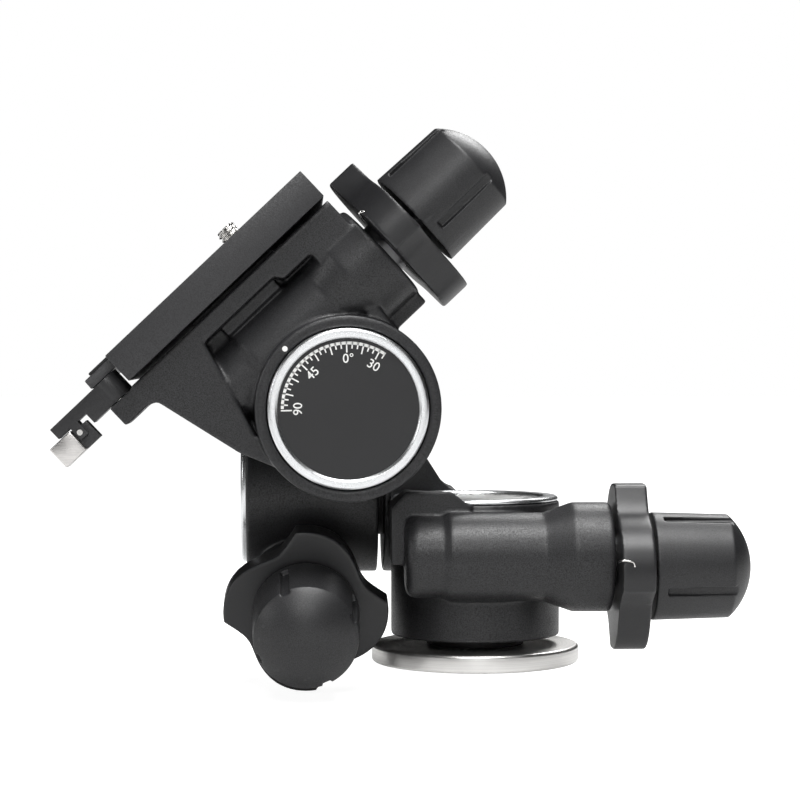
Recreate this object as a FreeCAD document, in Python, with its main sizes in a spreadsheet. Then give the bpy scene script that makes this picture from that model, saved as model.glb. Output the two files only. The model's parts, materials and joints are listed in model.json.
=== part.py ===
import FreeCAD, Part

import math
import os
import re

import Sketcher

from FreeCAD import Placement, Rotation, Vector

# Geared tripod head: a fixed base, then three worm stages stacked one on the other (pan, side tilt,
# front tilt), then a quick release seat with its plate. Millimetres, +Z up. The origin is the centre
# of the base disc's underside, the pan axis is Z, and the pose is the one that the head is shown in.

document = FreeCAD.newDocument("GearedTripodHead")
sizes = document.addObject("Spreadsheet::Sheet", "Sizes")

DRIVING_SIZES = [
    ("base_radius", 30.0, "base disc"),
    ("base_thick", 5.1, "base disc"),
    ("socket_radius", 4.35, "3/8 inch thread, wall of the tapped hole"),
    ("socket_depth", 11.0, "depth of the tripod thread"),
    ("insert_radius", 7.0, "steel thread insert in the base"),
    ("edge_bevel", 0.6, "bevel on turned edges"),
    ("run_gap", 0.05, "radial clearance of a running fit"),
    ("seat_gap", 0.3, "clearance between moving bodies"),
    ("wheel_teeth", 48, "teeth of each worm wheel, one start on the worm"),
    ("gear_module", 0.85, "pitch diameter over teeth"),
    ("wheel_width", 6.0, "worm wheel along its axis"),
    ("worm_pitch_radius", 4.6, "pitch radius of the worm"),
    ("tooth_addendum", 0.75, "tooth above the pitch line"),
    ("tooth_dedendum", 1.05, "gap below the pitch line"),
    ("tooth_share", 0.36, "tooth thickness over the pitch at the pitch line"),
    ("worm_threads", 6.0, "turns of thread on the worm"),
    ("worm_journal", 3.0, "radius of the worm shaft's bearings"),
    ("shaft_radius", 2.5, "radius of the worm shaft in the knob"),
    ("carrier_radius", 9.8, "eccentric carrier that the worm turns in"),
    ("carrier_offset", 2.7, "carrier axis towards the dial from the worm axis"),
    ("carrier_window", 15.8, "half length of the carrier's window at the wheel"),
    ("barrel_radius", 12.4, "narrow part of the worm barrel"),
    ("barrel_end", 21.5, "far end of the worm barrel from the stage axis"),
    ("barrel_tail_radius", 11.4, "far part of the worm barrel, past its step"),
    ("barrel_step", 9.0, "step of the worm barrel from the stage axis"),
    ("barrel_round", 3.0, "rounding of the barrel's far end"),
    ("cone_start", 17.0, "start of the cone from barrel to collar"),
    ("cone_end", 25.2, "end of the cone"),
    ("collar_radius", 15.3, "collar at the barrel's mouth"),
    ("collar_end", 35.9, "collar's face from the stage axis"),
    ("spring_room", 6.0, "depth of the spring's room in the collar"),
    ("spring_wire", 0.9, "wire of the return spring"),
    ("spring_gap", 0.25, "gap between the return spring's turns"),
    ("spring_turns", 4.0, "turns of the return spring"),
    ("spring_play", 0.35, "carrier's head to the return spring"),
    ("ring_gap", 0.8, "collar to release ring"),
    ("front_collar_end", 36.9, "front stage's collar face from its axis"),
    ("front_ring_gap", 2.0, "front stage's collar to its release ring"),
    ("ring_thick", 9.0, "release ring along the worm"),
    ("ring_radius", 23.3, "release ring over its four points"),
    ("knob_gap", 1.7, "release ring to knob"),
    ("knob_radius", 15.1, "knob at its base"),
    ("knob_end_radius", 14.5, "knob where its dome starts"),
    ("knob_length", 21.6, "tapered part of the knob"),
    ("knob_dome", 19.5, "radius of the knob's dome"),
    ("groove_width", 2.6, "grip groove of the knob"),
    ("groove_depth", 1.0, "grip groove of the knob"),
    ("groove_start", 3.0, "grip groove above the knob's base"),
    ("chamber_radius", 21.6, "room for the worm wheel"),
    ("dial_radius", 19.2, "dial face inside its bezel"),
    ("bezel_radius", 22.0, "bezel ring"),
    ("pan_flange_radius", 24.0, "flange of the pan bezel over its housing's rim"),
    ("bezel_height", 5.2, "bezel ring along the stage axis"),
    ("bezel_proud", 1.5, "bezel above the housing's rim"),
    ("dial_thick", 1.4, "dial plate"),
    ("dial_sunk", 0.9, "dial face below the bezel's top"),
    ("hub_thick", 2.0, "dial hub's disc"),
    ("rim_height", 17.4, "housing rim above the worm's plane"),
    ("pan_rim_height", 17.0, "pan housing rim above the worm's plane"),
    ("post_radius", 9.0, "post that a stage turns on"),
    ("post_tail", 7.0, "tail of a post in its socket"),
    ("side_post_tail", 5.0, "tail of the side post in the arm"),
    ("bush_radius", 11.0, "bush pressed into each housing"),
    ("nut_radius", 10.0, "ring nut that holds each wheel on its post"),
    ("nut_height", 3.0, "ring nut"),
    ("pan_radius", 24.4, "pan housing"),
    ("pan_worm_z", 29.5, "height of the pan worm"),
    ("pan_bottom", 7.85, "underside of the pan housing"),
    ("side_radius", 25.0, "side tilt housing"),
    ("side_axis_y", 22.0, "side tilt axis behind the pan axis"),
    ("side_axis_z", 49.0, "height of the side tilt axis"),
    ("side_worm_x", 49.1, "side worm to the pan axis"),
    ("side_face_x", 28.0, "side housing's inner face to the pan axis"),
    ("side_droop", 10.5, "droop of the side worm in degrees"),
    ("arm_face_x", 26.3, "face of the pan arm's flange to the pan axis"),
    ("arm_inner_x", 3.5, "inner side of the pan arm"),
    ("apron_gap", 0.5, "arm's apron to the path of the side release ring"),
    ("apron_front", 25.2, "front of the arm's apron ahead of the pan axis"),
    ("apron_top", 50.5, "top of the arm's apron"),
    ("apron_bottom", 30.0, "underside of the arm's apron"),
    ("front_radius", 25.5, "front tilt housing"),
    ("front_axis_x", 37.6, "front tilt axis to the pan axis"),
    ("front_axis_z", 74.1, "height of the front tilt axis"),
    ("front_worm_y", 23.6, "front worm's plane ahead of the pan axis"),
    ("front_back_y", 3.5, "front housing's back face ahead of the pan axis"),
    ("front_tilt", 43.5, "front tilt at rest in degrees"),
    ("boss_radius", 16.0, "boss of the front stage on the side housing"),
    ("boss_face_y", 2.0, "face of the side housing's boss, behind the front housing"),
    ("platform_top", 45.0, "body platform above the front tilt axis"),
    ("platform_left", 38.5, "platform's left end"),
    ("platform_right", 35.0, "platform's right end"),
    ("platform_depth", 50.0, "platform front to back"),
    ("platform_thick", 5.0, "platform"),
    ("seat_low", 46.4, "underside of the quick release seat"),
    ("seat_thick", 9.3, "quick release seat"),
    ("seat_depth", 60.0, "quick release seat front to back"),
    ("seat_wall", 6.5, "side wall of the quick release seat"),
    ("plate_top", 55.9, "top of the plate's pad"),
    ("plate_thick", 3.0, "quick release plate without its pad"),
    ("pad_thick", 0.9, "pad of the plate"),
    ("plate_left", 47.2, "plate's left end"),
    ("plate_right", 33.0, "plate's right end"),
    ("plate_slope", 1.6, "undercut of the plate's long edges"),
    ("camera_screw_x", 9.7, "camera screw from the front tilt axis"),
    ("camera_screw_radius", 3.175, "quarter inch camera thread"),
    ("camera_screw_proud", 4.5, "camera screw above the pad"),
]


def fill_sizes():
    """Writes the driving sizes as plain numbers, each with its alias and what it is."""
    for row, (alias, number, remark) in enumerate(DRIVING_SIZES, start=1):
        sizes.set(f"A{row}", remark)
        sizes.set(f"B{row}", str(number))
        sizes.setAlias(f"B{row}", alias)
    document.recompute()


fill_sizes()
ALIASES = {alias for alias, _, _ in DRIVING_SIZES}


def size(alias):
    """A driving size as a number, read from the sheet."""
    return float(sizes.get(alias))


def formula(text):
    """An expression in plain aliases, written out for the sheet they are kept in."""
    return re.sub(r"[a-z]\w*", lambda word: f"Sizes.{word[0]}" if word[0] in ALIASES else word[0], str(text))


def bind(item, prop, text):
    """Ties one property of an object to an expression of the driving sizes."""
    item.setExpression(prop, formula(text))


def bind_place(item, place):
    """Ties an object's position to three expressions."""
    for letter, text in zip("xyz", place):
        if str(text) != "0":
            bind(item, f"Placement.Base.{letter}", text)


# Directions that a primitive can be turned to, from its own Z
TURNS = {
    "z": Rotation(),
    "x": Rotation(Vector(0, 1, 0), 90),
    "y": Rotation(Vector(1, 0, 0), -90),
}


def cylinder(name, radius, length, place=(0, 0, 0), axis="z"):
    """A cylinder whose radius, length and place are expressions."""
    item = document.addObject("Part::Cylinder", name)
    item.Placement = Placement(Vector(), TURNS[axis])
    bind(item, "Radius", radius)
    bind(item, "Height", length)
    bind_place(item, place)
    return item


def cone(name, low_radius, high_radius, length, place=(0, 0, 0), axis="z"):
    """A cone from its low radius to its high radius."""
    item = document.addObject("Part::Cone", name)
    item.Placement = Placement(Vector(), TURNS[axis])
    bind(item, "Radius1", low_radius)
    bind(item, "Radius2", high_radius)
    bind(item, "Height", length)
    bind_place(item, place)
    return item


def block(name, spans, place=(0, 0, 0)):
    """A box with three side lengths and its low corner as expressions."""
    item = document.addObject("Part::Box", name)
    for prop, text in zip(("Length", "Width", "Height"), spans):
        bind(item, prop, text)
    bind_place(item, place)
    return item


def fused(name, shapes):
    """Several solids made one."""
    item = document.addObject("Part::MultiFuse", name)
    item.Shapes = list(shapes)
    item.Refine = True
    return item


def without(name, base, tools):
    """A solid less one tool, or less several joined tools."""
    tools = list(tools)
    item = document.addObject("Part::Cut", name)
    item.Base = base
    item.Tool = tools[0] if len(tools) == 1 else fused(f"{name}Tools", tools)
    item.Refine = True
    return item


def common(name, one, other):
    """What two solids share."""
    item = document.addObject("Part::MultiCommon", name)
    item.Shapes = [one, other]
    return item


def origin_plane(body, role):
    """One of a body's own origin planes, by its role."""
    return next(item for item in body.Origin.OriginFeatures if item.Role == role)


def outline_sketch(body, name, role, points, lift="0"):
    """A closed outline on one of the body's own planes, with each corner tied to two expressions."""
    sketch = body.newObject("Sketcher::SketchObject", name)
    sketch.AttachmentSupport = [(origin_plane(body, role), "")]
    sketch.MapMode = "FlatFace"
    if lift != "0":
        bind(sketch, "AttachmentOffset.Base.z", lift)
    count = len(points)
    corners = [
        Vector(10 * math.cos(2 * math.pi * n / count), 10 * math.sin(2 * math.pi * n / count), 0)
        for n in range(count)
    ]
    for n in range(count):
        sketch.addGeometry(Part.LineSegment(corners[n], corners[(n + 1) % count]), False)
    for n in range(count):
        sketch.addConstraint(Sketcher.Constraint("Coincident", n, 2, (n + 1) % count, 1))
    for n, place in enumerate(points):
        for kind, text, start in zip(("DistanceX", "DistanceY"), place, corners[n]):
            index = sketch.addConstraint(Sketcher.Constraint(kind, -1, 1, n, 1, start))
            sketch.setExpression(f"Constraints[{index}]", formula(text))
    return sketch


def circle_sketch(body, name, role, circles, lift="0"):
    """Circles on one of the body's own planes, each with its centre and radius as expressions."""
    sketch = body.newObject("Sketcher::SketchObject", name)
    sketch.AttachmentSupport = [(origin_plane(body, role), "")]
    sketch.MapMode = "FlatFace"
    if lift != "0":
        bind(sketch, "AttachmentOffset.Base.z", lift)
    for n, (across, up, radius) in enumerate(circles):
        sketch.addGeometry(Part.Circle(Vector(), Vector(0, 0, 1), 5.0), False)
        for kind, text in (("DistanceX", across), ("DistanceY", up)):
            index = sketch.addConstraint(Sketcher.Constraint(kind, -1, 1, n, 3, 0.0))
            sketch.setExpression(f"Constraints[{index}]", formula(text))
        index = sketch.addConstraint(Sketcher.Constraint("Radius", n, 5.0))
        sketch.setExpression(f"Constraints[{index}]", formula(radius))
    return sketch


def turned(name, profile):
    """A turned piece: a closed profile of (radius, height) corners, swept round the body's Z."""
    body = document.addObject("PartDesign::Body", name)
    sketch = outline_sketch(body, f"{name}Profile", "XZ_Plane", profile)
    turn = body.newObject("PartDesign::Revolution", f"{name}Turn")
    turn.Profile = sketch
    turn.ReferenceAxis = (sketch, ["V_Axis"])
    turn.Angle = 360.0
    return body


def pad_on(body, name, sketch, length, reverse=False):
    """Pushes a sketch out into the body by a length given as an expression."""
    pad = body.newObject("PartDesign::Pad", name)
    pad.Profile = sketch
    pad.Reversed = reverse
    bind(pad, "Length", length)
    return pad


# Every finished sub-part by its name
SUB_PARTS = {}


def finished(item, label, place=None):
    """Names a finished sub-part and puts it in its place."""
    item.Label = label
    if place is not None:
        item.Placement = place
    SUB_PARTS[label] = item
    return item


def frame_place(across, up, out, at):
    """A placement from the directions of its own X, Y and Z, and its origin."""
    turn = FreeCAD.Matrix(
        across.x, up.x, out.x, at.x,
        across.y, up.y, out.y, at.y,
        across.z, up.z, out.z, at.z,
        0, 0, 0, 1,
    )
    return Placement(turn)


# The three stages. In a stage's own frame Z is the wheel's axis towards its dial, X runs along the worm
# to the knob, the origin is where the wheel's middle plane meets its axis, and the worm lies at
# Y = worm_side times the centre distance.
CENTRE_DISTANCE = "(gear_module * wheel_teeth / 2 + worm_pitch_radius)"
THREAD_PITCH = "(gear_module * pi)"


class Stage:
    """One worm stage: where it is, which way it faces and how thick its housing is."""

    def __init__(self, key, place, worm_side, radius, rim, back, seat, collar, gap):
        self.key = key
        self.place = place
        self.worm_side = worm_side
        self.radius = radius
        self.rim = rim
        self.back = back
        self.seat = seat
        self.collar = collar
        self.ring_low = f"({collar} + {gap})"
        self.knob_low = f"({collar} + {gap} + ring_thick + knob_gap)"
        self.ring_start = size(collar) + size(gap)

    @property
    def dial_way(self):
        """Sign of the dial's direction along Y of the worm's frame."""
        return -self.worm_side

    def worm_place(self):
        """The worm's frame: Z along the worm to the knob, X towards the wheel, origin on its axis."""
        centre = size("gear_module") * size("wheel_teeth") / 2 + size("worm_pitch_radius")
        inner = frame_place(
            Vector(0, -self.worm_side, 0),
            Vector(0, 0, -self.worm_side),
            Vector(1, 0, 0),
            Vector(0, self.worm_side * centre, 0),
        )
        return self.place.multiply(inner)


def droop_directions():
    """Worm direction and upward direction of the side stage, drooped about its own axis."""
    droop = math.radians(size("side_droop"))
    return Vector(0, -math.cos(droop), -math.sin(droop)), Vector(0, -math.sin(droop), math.cos(droop))


def tilt_directions():
    """Platform's rightward and upward directions at the rest tilt."""
    tilt = math.radians(size("front_tilt"))
    return Vector(math.cos(tilt), 0, math.sin(tilt)), Vector(-math.sin(tilt), 0, math.cos(tilt))


def make_stages():
    """The pan, side and front stages from the driving sizes."""
    along, upward = droop_directions()
    right, top = tilt_directions()
    pan = Stage(
        "pan",
        frame_place(Vector(1, 0, 0), Vector(0, 1, 0), Vector(0, 0, 1), Vector(0, 0, size("pan_worm_z"))),
        -1, "pan_radius", "pan_rim_height", "(pan_bottom - pan_worm_z)", "(base_thick - pan_worm_z)",
        "collar_end", "ring_gap",
    )
    side = Stage(
        "side",
        frame_place(along, upward, Vector(-1, 0, 0),
                    Vector(-size("side_worm_x"), size("side_axis_y"), size("side_axis_z"))),
        -1, "side_radius", "rim_height", "(side_face_x - side_worm_x)", "(arm_face_x - side_worm_x)",
        "collar_end", "ring_gap",
    )
    front = Stage(
        "front",
        frame_place(right, top, Vector(0, -1, 0),
                    Vector(-size("front_axis_x"), -size("front_worm_y"), size("front_axis_z"))),
        1, "front_radius", "rim_height", "(front_back_y - front_worm_y)", "(boss_face_y - front_worm_y)",
        "front_collar_end", "front_ring_gap",
    )
    return pan, side, front


PAN, SIDE, FRONT = make_stages()
CHAMBER_FLOOR = "(-wheel_width / 2 - 2 * seat_gap)"
DIAL_LOW = "{rim} + bezel_proud - dial_sunk - dial_thick"


def tooth_outline(root, tip, root_half, tip_half, teeth):
    """Corners of a toothed disc with a gap between two teeth on its X axis."""
    corners = []
    for number in range(teeth):
        middle = 2 * math.pi * (number + 0.5) / teeth
        for radius, half in ((root, -root_half), (tip, -tip_half), (tip, tip_half), (root, root_half)):
            turn = middle + half
            corners.append(Vector(radius * math.cos(turn), radius * math.sin(turn), 0))
    return corners


def make_wheel(stage):
    """Worm wheel with straight teeth, bored for the post."""
    teeth = int(size("wheel_teeth"))
    pitch_radius = size("gear_module") * teeth / 2
    pitch = 2 * math.pi / teeth
    tooth = size("tooth_share")
    corners = tooth_outline(
        pitch_radius - size("tooth_dedendum"),
        pitch_radius + size("tooth_addendum"),
        pitch * (tooth / 2 + 0.09),
        pitch * (tooth / 2 - 0.09),
        teeth,
    )
    wire = Part.makePolygon(corners + corners[:1])
    blank = Part.Face(wire).extrude(Vector(0, 0, size("wheel_width")))
    bore = Part.makeCylinder(size("post_radius") - 2.0, size("wheel_width"))
    wheel = document.addObject("Part::Feature", f"{stage.key}Wheel")
    wheel.Shape = blank.cut(bore)
    lowered = Placement(Vector(0, 0, -size("wheel_width") / 2), Rotation())
    return finished(wheel, f"{stage.key}_worm_wheel", stage.place.multiply(lowered))


# How far each post reaches into what carries it
TAILS = {"pan": "0", "side": "side_post_tail", "front": "post_tail"}


def make_post(stage):
    """Post with a shoulder for the wheel, a tail in its seat and a step for the ring nut."""
    key = stage.key
    tail = f"{stage.seat} - {TAILS[key]}"
    top = DIAL_LOW.format(rim=stage.rim)
    profile = [
        ("0", tail), ("post_radius", tail), ("post_radius", "-wheel_width / 2"),
        ("post_radius - 2.02", "-wheel_width / 2"), ("post_radius - 2.02", top), ("0", top),
    ]
    if key == "pan":
        profile = [
            ("insert_radius + 0.02", tail), ("post_radius", tail), ("post_radius", "-wheel_width / 2"),
            ("post_radius - 2.02", "-wheel_width / 2"), ("post_radius - 2.02", top), ("0", top),
            ("0", "socket_depth - pan_worm_z + 1.5"),
            ("insert_radius + 0.02", "socket_depth - pan_worm_z + 1.5"),
        ]
    return finished(turned(f"{key}Post", profile), f"{key}_post", stage.place)


def make_ring_nut(stage):
    """Ring nut on top of the wheel, with two spanner slots."""
    key = stage.key
    body = turned(f"{key}Nut", [
        ("post_radius - 2", "wheel_width / 2"), ("nut_radius", "wheel_width / 2"),
        ("nut_radius", "wheel_width / 2 + nut_height"), ("post_radius - 2", "wheel_width / 2 + nut_height"),
    ])
    slot = outline_sketch(body, f"{key}NutSlot", "XZ_Plane", [
        ("-1.5", "wheel_width / 2 + nut_height - 1"), ("1.5", "wheel_width / 2 + nut_height - 1"),
        ("1.5", "wheel_width / 2 + nut_height + 1"), ("-1.5", "wheel_width / 2 + nut_height + 1"),
    ])
    cut = body.newObject("PartDesign::Pocket", f"{key}NutSlots")
    cut.Profile = slot
    cut.Midplane = True
    cut.Length = 60.0
    return finished(body, f"{key}_ring_nut", stage.place)


def make_bush(stage):
    """Bearing bush pressed into the housing's back wall."""
    profile = [
        ("post_radius + run_gap", stage.back), ("bush_radius - 0.02", stage.back),
        ("bush_radius - 0.02", CHAMBER_FLOOR), ("post_radius + run_gap", CHAMBER_FLOOR),
    ]
    return finished(turned(f"{stage.key}Bush", profile), f"{stage.key}_bush", stage.place)


def make_washer(stage):
    """Thrust washer between the fixed seat and the turning housing."""
    profile = [
        ("post_radius + seat_gap", stage.seat), ("14", stage.seat),
        ("14", f"{stage.back} - 2 * run_gap"), ("post_radius + seat_gap", f"{stage.back} - 2 * run_gap"),
    ]
    return finished(turned(f"{stage.key}Washer", profile), f"{stage.key}_thrust_washer", stage.place)


def make_dial(stage):
    """Dial hub on the post, the dial plate on it and the bezel ring round it."""
    key = stage.key
    low = DIAL_LOW.format(rim=stage.rim)
    top = f"{stage.rim} + bezel_proud"
    hub = turned(f"{key}Hub", [
        ("post_radius - 2", "wheel_width / 2 + nut_height"), ("nut_radius", "wheel_width / 2 + nut_height"),
        ("nut_radius", f"{low} - hub_thick"), ("dial_radius + 0.98", f"{low} - hub_thick"),
        ("dial_radius + 0.98", low), ("post_radius - 2", low),
    ])
    plate = turned(f"{key}Dial", [
        ("0", low), ("dial_radius + 0.98", low),
        ("dial_radius + 0.98", f"{low} + dial_thick"), ("0", f"{low} + dial_thick"),
    ])
    edge = "bezel_radius"
    flange = []
    if key == "pan":
        edge = "pan_flange_radius"
        flange = [("bezel_radius", f"{stage.rim} + seat_gap"), (edge, f"{stage.rim} + seat_gap")]
    ring = turned(f"{key}Bezel", [
        ("dial_radius + 1", f"{top} - bezel_height"), ("bezel_radius", f"{top} - bezel_height"),
    ] + flange + [
        (edge, f"{top} - edge_bevel"), (f"{edge} - edge_bevel", top),
        ("dial_radius + edge_bevel", top), ("dial_radius", f"{top} - edge_bevel"),
        ("dial_radius", f"{low} + dial_thick"), ("dial_radius + 1", f"{low} + dial_thick"),
    ])
    finished(hub, f"{key}_dial_hub", stage.place)
    finished(plate, f"{key}_dial_plate", stage.place)
    finished(ring, f"{key}_dial_bezel", stage.place)


def worm_offset(stage, extra="0"):
    """Place of the carrier's axis in the worm's frame, at a distance along the worm."""
    return ("0", f"{stage.dial_way} * carrier_offset", extra)


def make_carrier(stage):
    """Eccentric carrier: a drum bored off its own axis, open on the side of the wheel."""
    key = stage.key
    start = "(-barrel_end + 2.2)"
    drum_end = f"({stage.collar} - spring_room - 1)"
    drum = cylinder(f"{key}Drum", "carrier_radius", f"{drum_end} - {start}", worm_offset(stage, start))
    head = cylinder(f"{key}DrumHead", "carrier_radius - 2", f"{stage.ring_low} - {drum_end}",
                    worm_offset(stage, drum_end))
    worm_room = cylinder(f"{key}WormRoom", "worm_pitch_radius + tooth_addendum + 0.45",
                         "2 * carrier_window", ("0", "0", "-carrier_window"))
    bore = cylinder(f"{key}CarrierBore", "worm_journal + run_gap", "100", ("0", "0", "-50"))
    window = block(f"{key}Window", ("30", "40", "2 * carrier_window"), ("-1", "-20", "-carrier_window"))
    carrier = without(f"{key}Carrier", fused(f"{key}CarrierBody", [drum, head]), [worm_room, bore, window])
    return finished(carrier, f"{key}_worm_carrier", stage.worm_place())


# Turn of each ring's first finger point, and of each knob's first groove, in degrees
FIRST_POINTS = {"pan": 12.0, "side": 7.0, "front": 6.0}
GROOVE_START = 24.0

# One quarter of the release ring's outline: degrees from its finger point, and the share of its full radius
RING_QUARTER = [
    (0.0, 1.0), (8.0, 0.87), (20.0, 0.785), (34.0, 0.82),
    (48.0, 0.90), (64.0, 0.975), (78.0, 1.0), (90.0, 1.0),
]


def make_release_ring(stage, first_point):
    """Release ring with four finger points, flanged to the carrier by its own drum."""
    key = stage.key
    edges = []
    for quarter in range(4):
        corners = []
        for angle, share in RING_QUARTER:
            turn = math.radians(first_point + quarter * 90.0 + angle)
            reach = share * size("ring_radius")
            corners.append(Vector(reach * math.cos(turn), reach * math.sin(turn), 0))
        curve = Part.BSplineCurve()
        curve.interpolate(Points=corners)
        edges.append(curve.toShape())
    face = Part.Face(Part.Wire(edges))
    low = stage.ring_start
    plate = face.extrude(Vector(0, 0, size("ring_thick")))
    plate.translate(Vector(0, 0, low))
    hole = Part.makeCylinder(size("shaft_radius") + size("seat_gap"), size("ring_thick"), Vector(0, 0, low))
    ring = document.addObject("Part::Feature", f"{key}Ring")
    ring.Shape = plate.cut(hole)
    return finished(ring, f"{key}_release_ring", stage.worm_place())


def make_return_spring(stage):
    """Torsion spring round the carrier's head, in the collar."""
    key = stage.key
    body = document.addObject("PartDesign::Body", f"{key}Spring")
    coil_radius = "carrier_radius - 2 + spring_play + spring_wire / 2"
    low = f"{stage.collar} - spring_room - 1 + spring_wire / 2 + 0.15"
    wire = circle_sketch(body, f"{key}SpringWire", "XZ_Plane", [(coil_radius, low, "spring_wire / 2")])
    document.recompute()
    coil = body.newObject("PartDesign::AdditiveHelix", f"{key}SpringCoil")
    coil.Profile = wire
    coil.ReferenceAxis = (wire, ["V_Axis"])
    coil.Mode = 0
    bind(coil, "Pitch", "spring_wire + spring_gap")
    bind(coil, "Height", "spring_turns * (spring_wire + spring_gap)")
    to_carrier = Placement(Vector(0, stage.dial_way * size("carrier_offset"), 0), Rotation())
    return finished(body, f"{key}_return_spring", stage.worm_place().multiply(to_carrier))


def make_worm(stage):
    """Single start worm cut on its shaft."""
    key = stage.key
    body = document.addObject("PartDesign::Body", f"{key}Worm")
    root = "(worm_pitch_radius - tooth_dedendum + 0.2)"
    far = "(-barrel_end + 2.6)"
    thread_half = f"(worm_threads * {THREAD_PITCH} / 2 + 1)"
    profile = outline_sketch(body, f"{key}ShaftProfile", "XZ_Plane", [
        ("0", far), ("worm_journal", far), ("worm_journal", f"-{thread_half}"),
        (root, f"-{thread_half}"), (root, thread_half), ("worm_journal", thread_half),
        ("worm_journal", stage.ring_low), ("shaft_radius", stage.ring_low),
        ("shaft_radius", f"{stage.knob_low} + knob_length - 3"),
        ("0", f"{stage.knob_low} + knob_length - 3"),
    ])
    shaft = body.newObject("PartDesign::Revolution", f"{key}Shaft")
    shaft.Profile = profile
    shaft.ReferenceAxis = (profile, ["V_Axis"])
    shaft.Angle = 360.0
    document.recompute()
    half_low = f"({THREAD_PITCH} * (tooth_share / 2 + 0.09))"
    half_top = f"({THREAD_PITCH} * (tooth_share / 2 - 0.09))"
    start = f"(-worm_threads * {THREAD_PITCH} / 2)"
    deep = f"({root} - 0.3)"
    tip = "(worm_pitch_radius + tooth_addendum)"
    tooth = outline_sketch(body, f"{key}ThreadProfile", "XZ_Plane", [
        (deep, f"{start} - {half_low}"), (tip, f"{start} - {half_top}"),
        (tip, f"{start} + {half_top}"), (deep, f"{start} + {half_low}"),
    ])
    document.recompute()
    thread = body.newObject("PartDesign::AdditiveHelix", f"{key}Thread")
    thread.Profile = tooth
    thread.ReferenceAxis = (tooth, ["V_Axis"])
    thread.Mode = 0
    bind(thread, "Pitch", THREAD_PITCH)
    bind(thread, "Height", f"worm_threads * {THREAD_PITCH}")
    thread.LeftHanded = False
    thread.Reversed = False
    return finished(body, f"{key}_worm", stage.worm_place())


def make_knob(stage):
    """Tapered knob with a domed end and four grip grooves, on the end of the worm's shaft."""
    key = stage.key
    top = f"({stage.knob_low} + knob_length)"
    foot = ("0", "0", stage.knob_low)
    body = cone(f"{key}KnobBody", "knob_radius", "knob_end_radius", "knob_length", foot)
    core = cylinder(f"{key}KnobCore", "knob_end_radius", "knob_length + knob_dome", foot)
    ball = document.addObject("Part::Sphere", f"{key}KnobBall")
    bind(ball, "Radius", "knob_dome")
    bind_place(ball, ("0", "0", f"{top} - sqrt(knob_dome ^ 2 - knob_end_radius ^ 2)"))
    solid = fused(f"{key}KnobSolid", [body, common(f"{key}KnobDome", core, ball)])
    bore = cylinder(f"{key}KnobBore", "shaft_radius + 0.02", "knob_length - 2.5", foot)
    grooves = []
    for number in range(4):
        groove = block(f"{key}Groove{number}", ("4", "groove_width", "knob_length - groove_start + 3"))
        turn = GROOVE_START + 90.0 * number
        reach = size("knob_end_radius") - size("groove_depth")
        low = stage.ring_start + size("ring_thick") + size("knob_gap") + size("groove_start")
        centre = Rotation(Vector(0, 0, 1), turn).multVec(Vector(reach, -size("groove_width") / 2, low))
        groove.Placement = Placement(centre, Rotation(Vector(0, 0, 1), turn))
        grooves.append(groove)
    return finished(without(f"{key}Knob", solid, [bore] + grooves), f"{key}_knob", stage.worm_place())


def stage_shell(stage, extra_solids=(), extra_tools=()):
    """Housing of a stage: a drum with the worm barrel across it, hollowed for wheel, dial and carrier."""
    key = stage.key
    side = stage.worm_side
    reach = f"{side} * {CENTRE_DISTANCE}"
    drum = cylinder(f"{key}Shell", stage.radius, f"{stage.rim} - {stage.back}", ("0", "0", stage.back))
    tube = turned(f"{key}Barrel", [
        ("0", "-barrel_end"), ("barrel_tail_radius - barrel_round", "-barrel_end"),
        ("barrel_tail_radius - barrel_round * 0.5", "-barrel_end + barrel_round * 0.134"),
        ("barrel_tail_radius - barrel_round * 0.134", "-barrel_end + barrel_round * 0.5"),
        ("barrel_tail_radius", "-barrel_end + barrel_round"), ("barrel_tail_radius", "-barrel_step - 2"),
        ("barrel_radius", "-barrel_step"), ("barrel_radius", "cone_start"), ("collar_radius", "cone_end"),
        ("collar_radius", f"{stage.collar} - edge_bevel"), ("collar_radius - edge_bevel", stage.collar),
        ("0", stage.collar),
    ])
    tube.Placement = Placement(Vector(), TURNS["x"])
    bind_place(tube, ("0", reach, "carrier_offset"))
    shell = fused(f"{key}ShellSolid", [drum, tube] + list(extra_solids))
    bezel_low = f"{stage.rim} + bezel_proud - bezel_height - 2 * seat_gap"
    room_low = f"({stage.collar} - spring_room - 1)"
    tools = [
        cylinder(f"{key}Chamber", "chamber_radius", f"{stage.rim} - {CHAMBER_FLOOR} + 1",
                 ("0", "0", CHAMBER_FLOOR)),
        cylinder(f"{key}BezelRoom", "bezel_radius + seat_gap", "bezel_height + 3 * seat_gap",
                 ("0", "0", bezel_low)),
        cylinder(f"{key}BushBore", "bush_radius", f"{CHAMBER_FLOOR} - {stage.back} + 2",
                 ("0", "0", f"{stage.back} - 1")),
        cylinder(f"{key}CarrierRoom", "carrier_radius + run_gap", "barrel_end + collar_end",
                 ("-barrel_end + 2", reach, "carrier_offset"), "x"),
        cylinder(f"{key}SpringRoom", "collar_radius - 2.2", "spring_room + 2",
                 (room_low, reach, "carrier_offset"), "x"),
    ]
    return without(f"{key}Housing", shell, tools + list(extra_tools))


def prism(name, role, points, low, length):
    """A straight prism on one of its body's planes: an outline, where it starts and how long it is."""
    body = document.addObject("PartDesign::Body", name)
    outline = outline_sketch(body, f"{name}Outline", role, points, low)
    pad_on(body, f"{name}Pad", outline, length)
    return body


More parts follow.
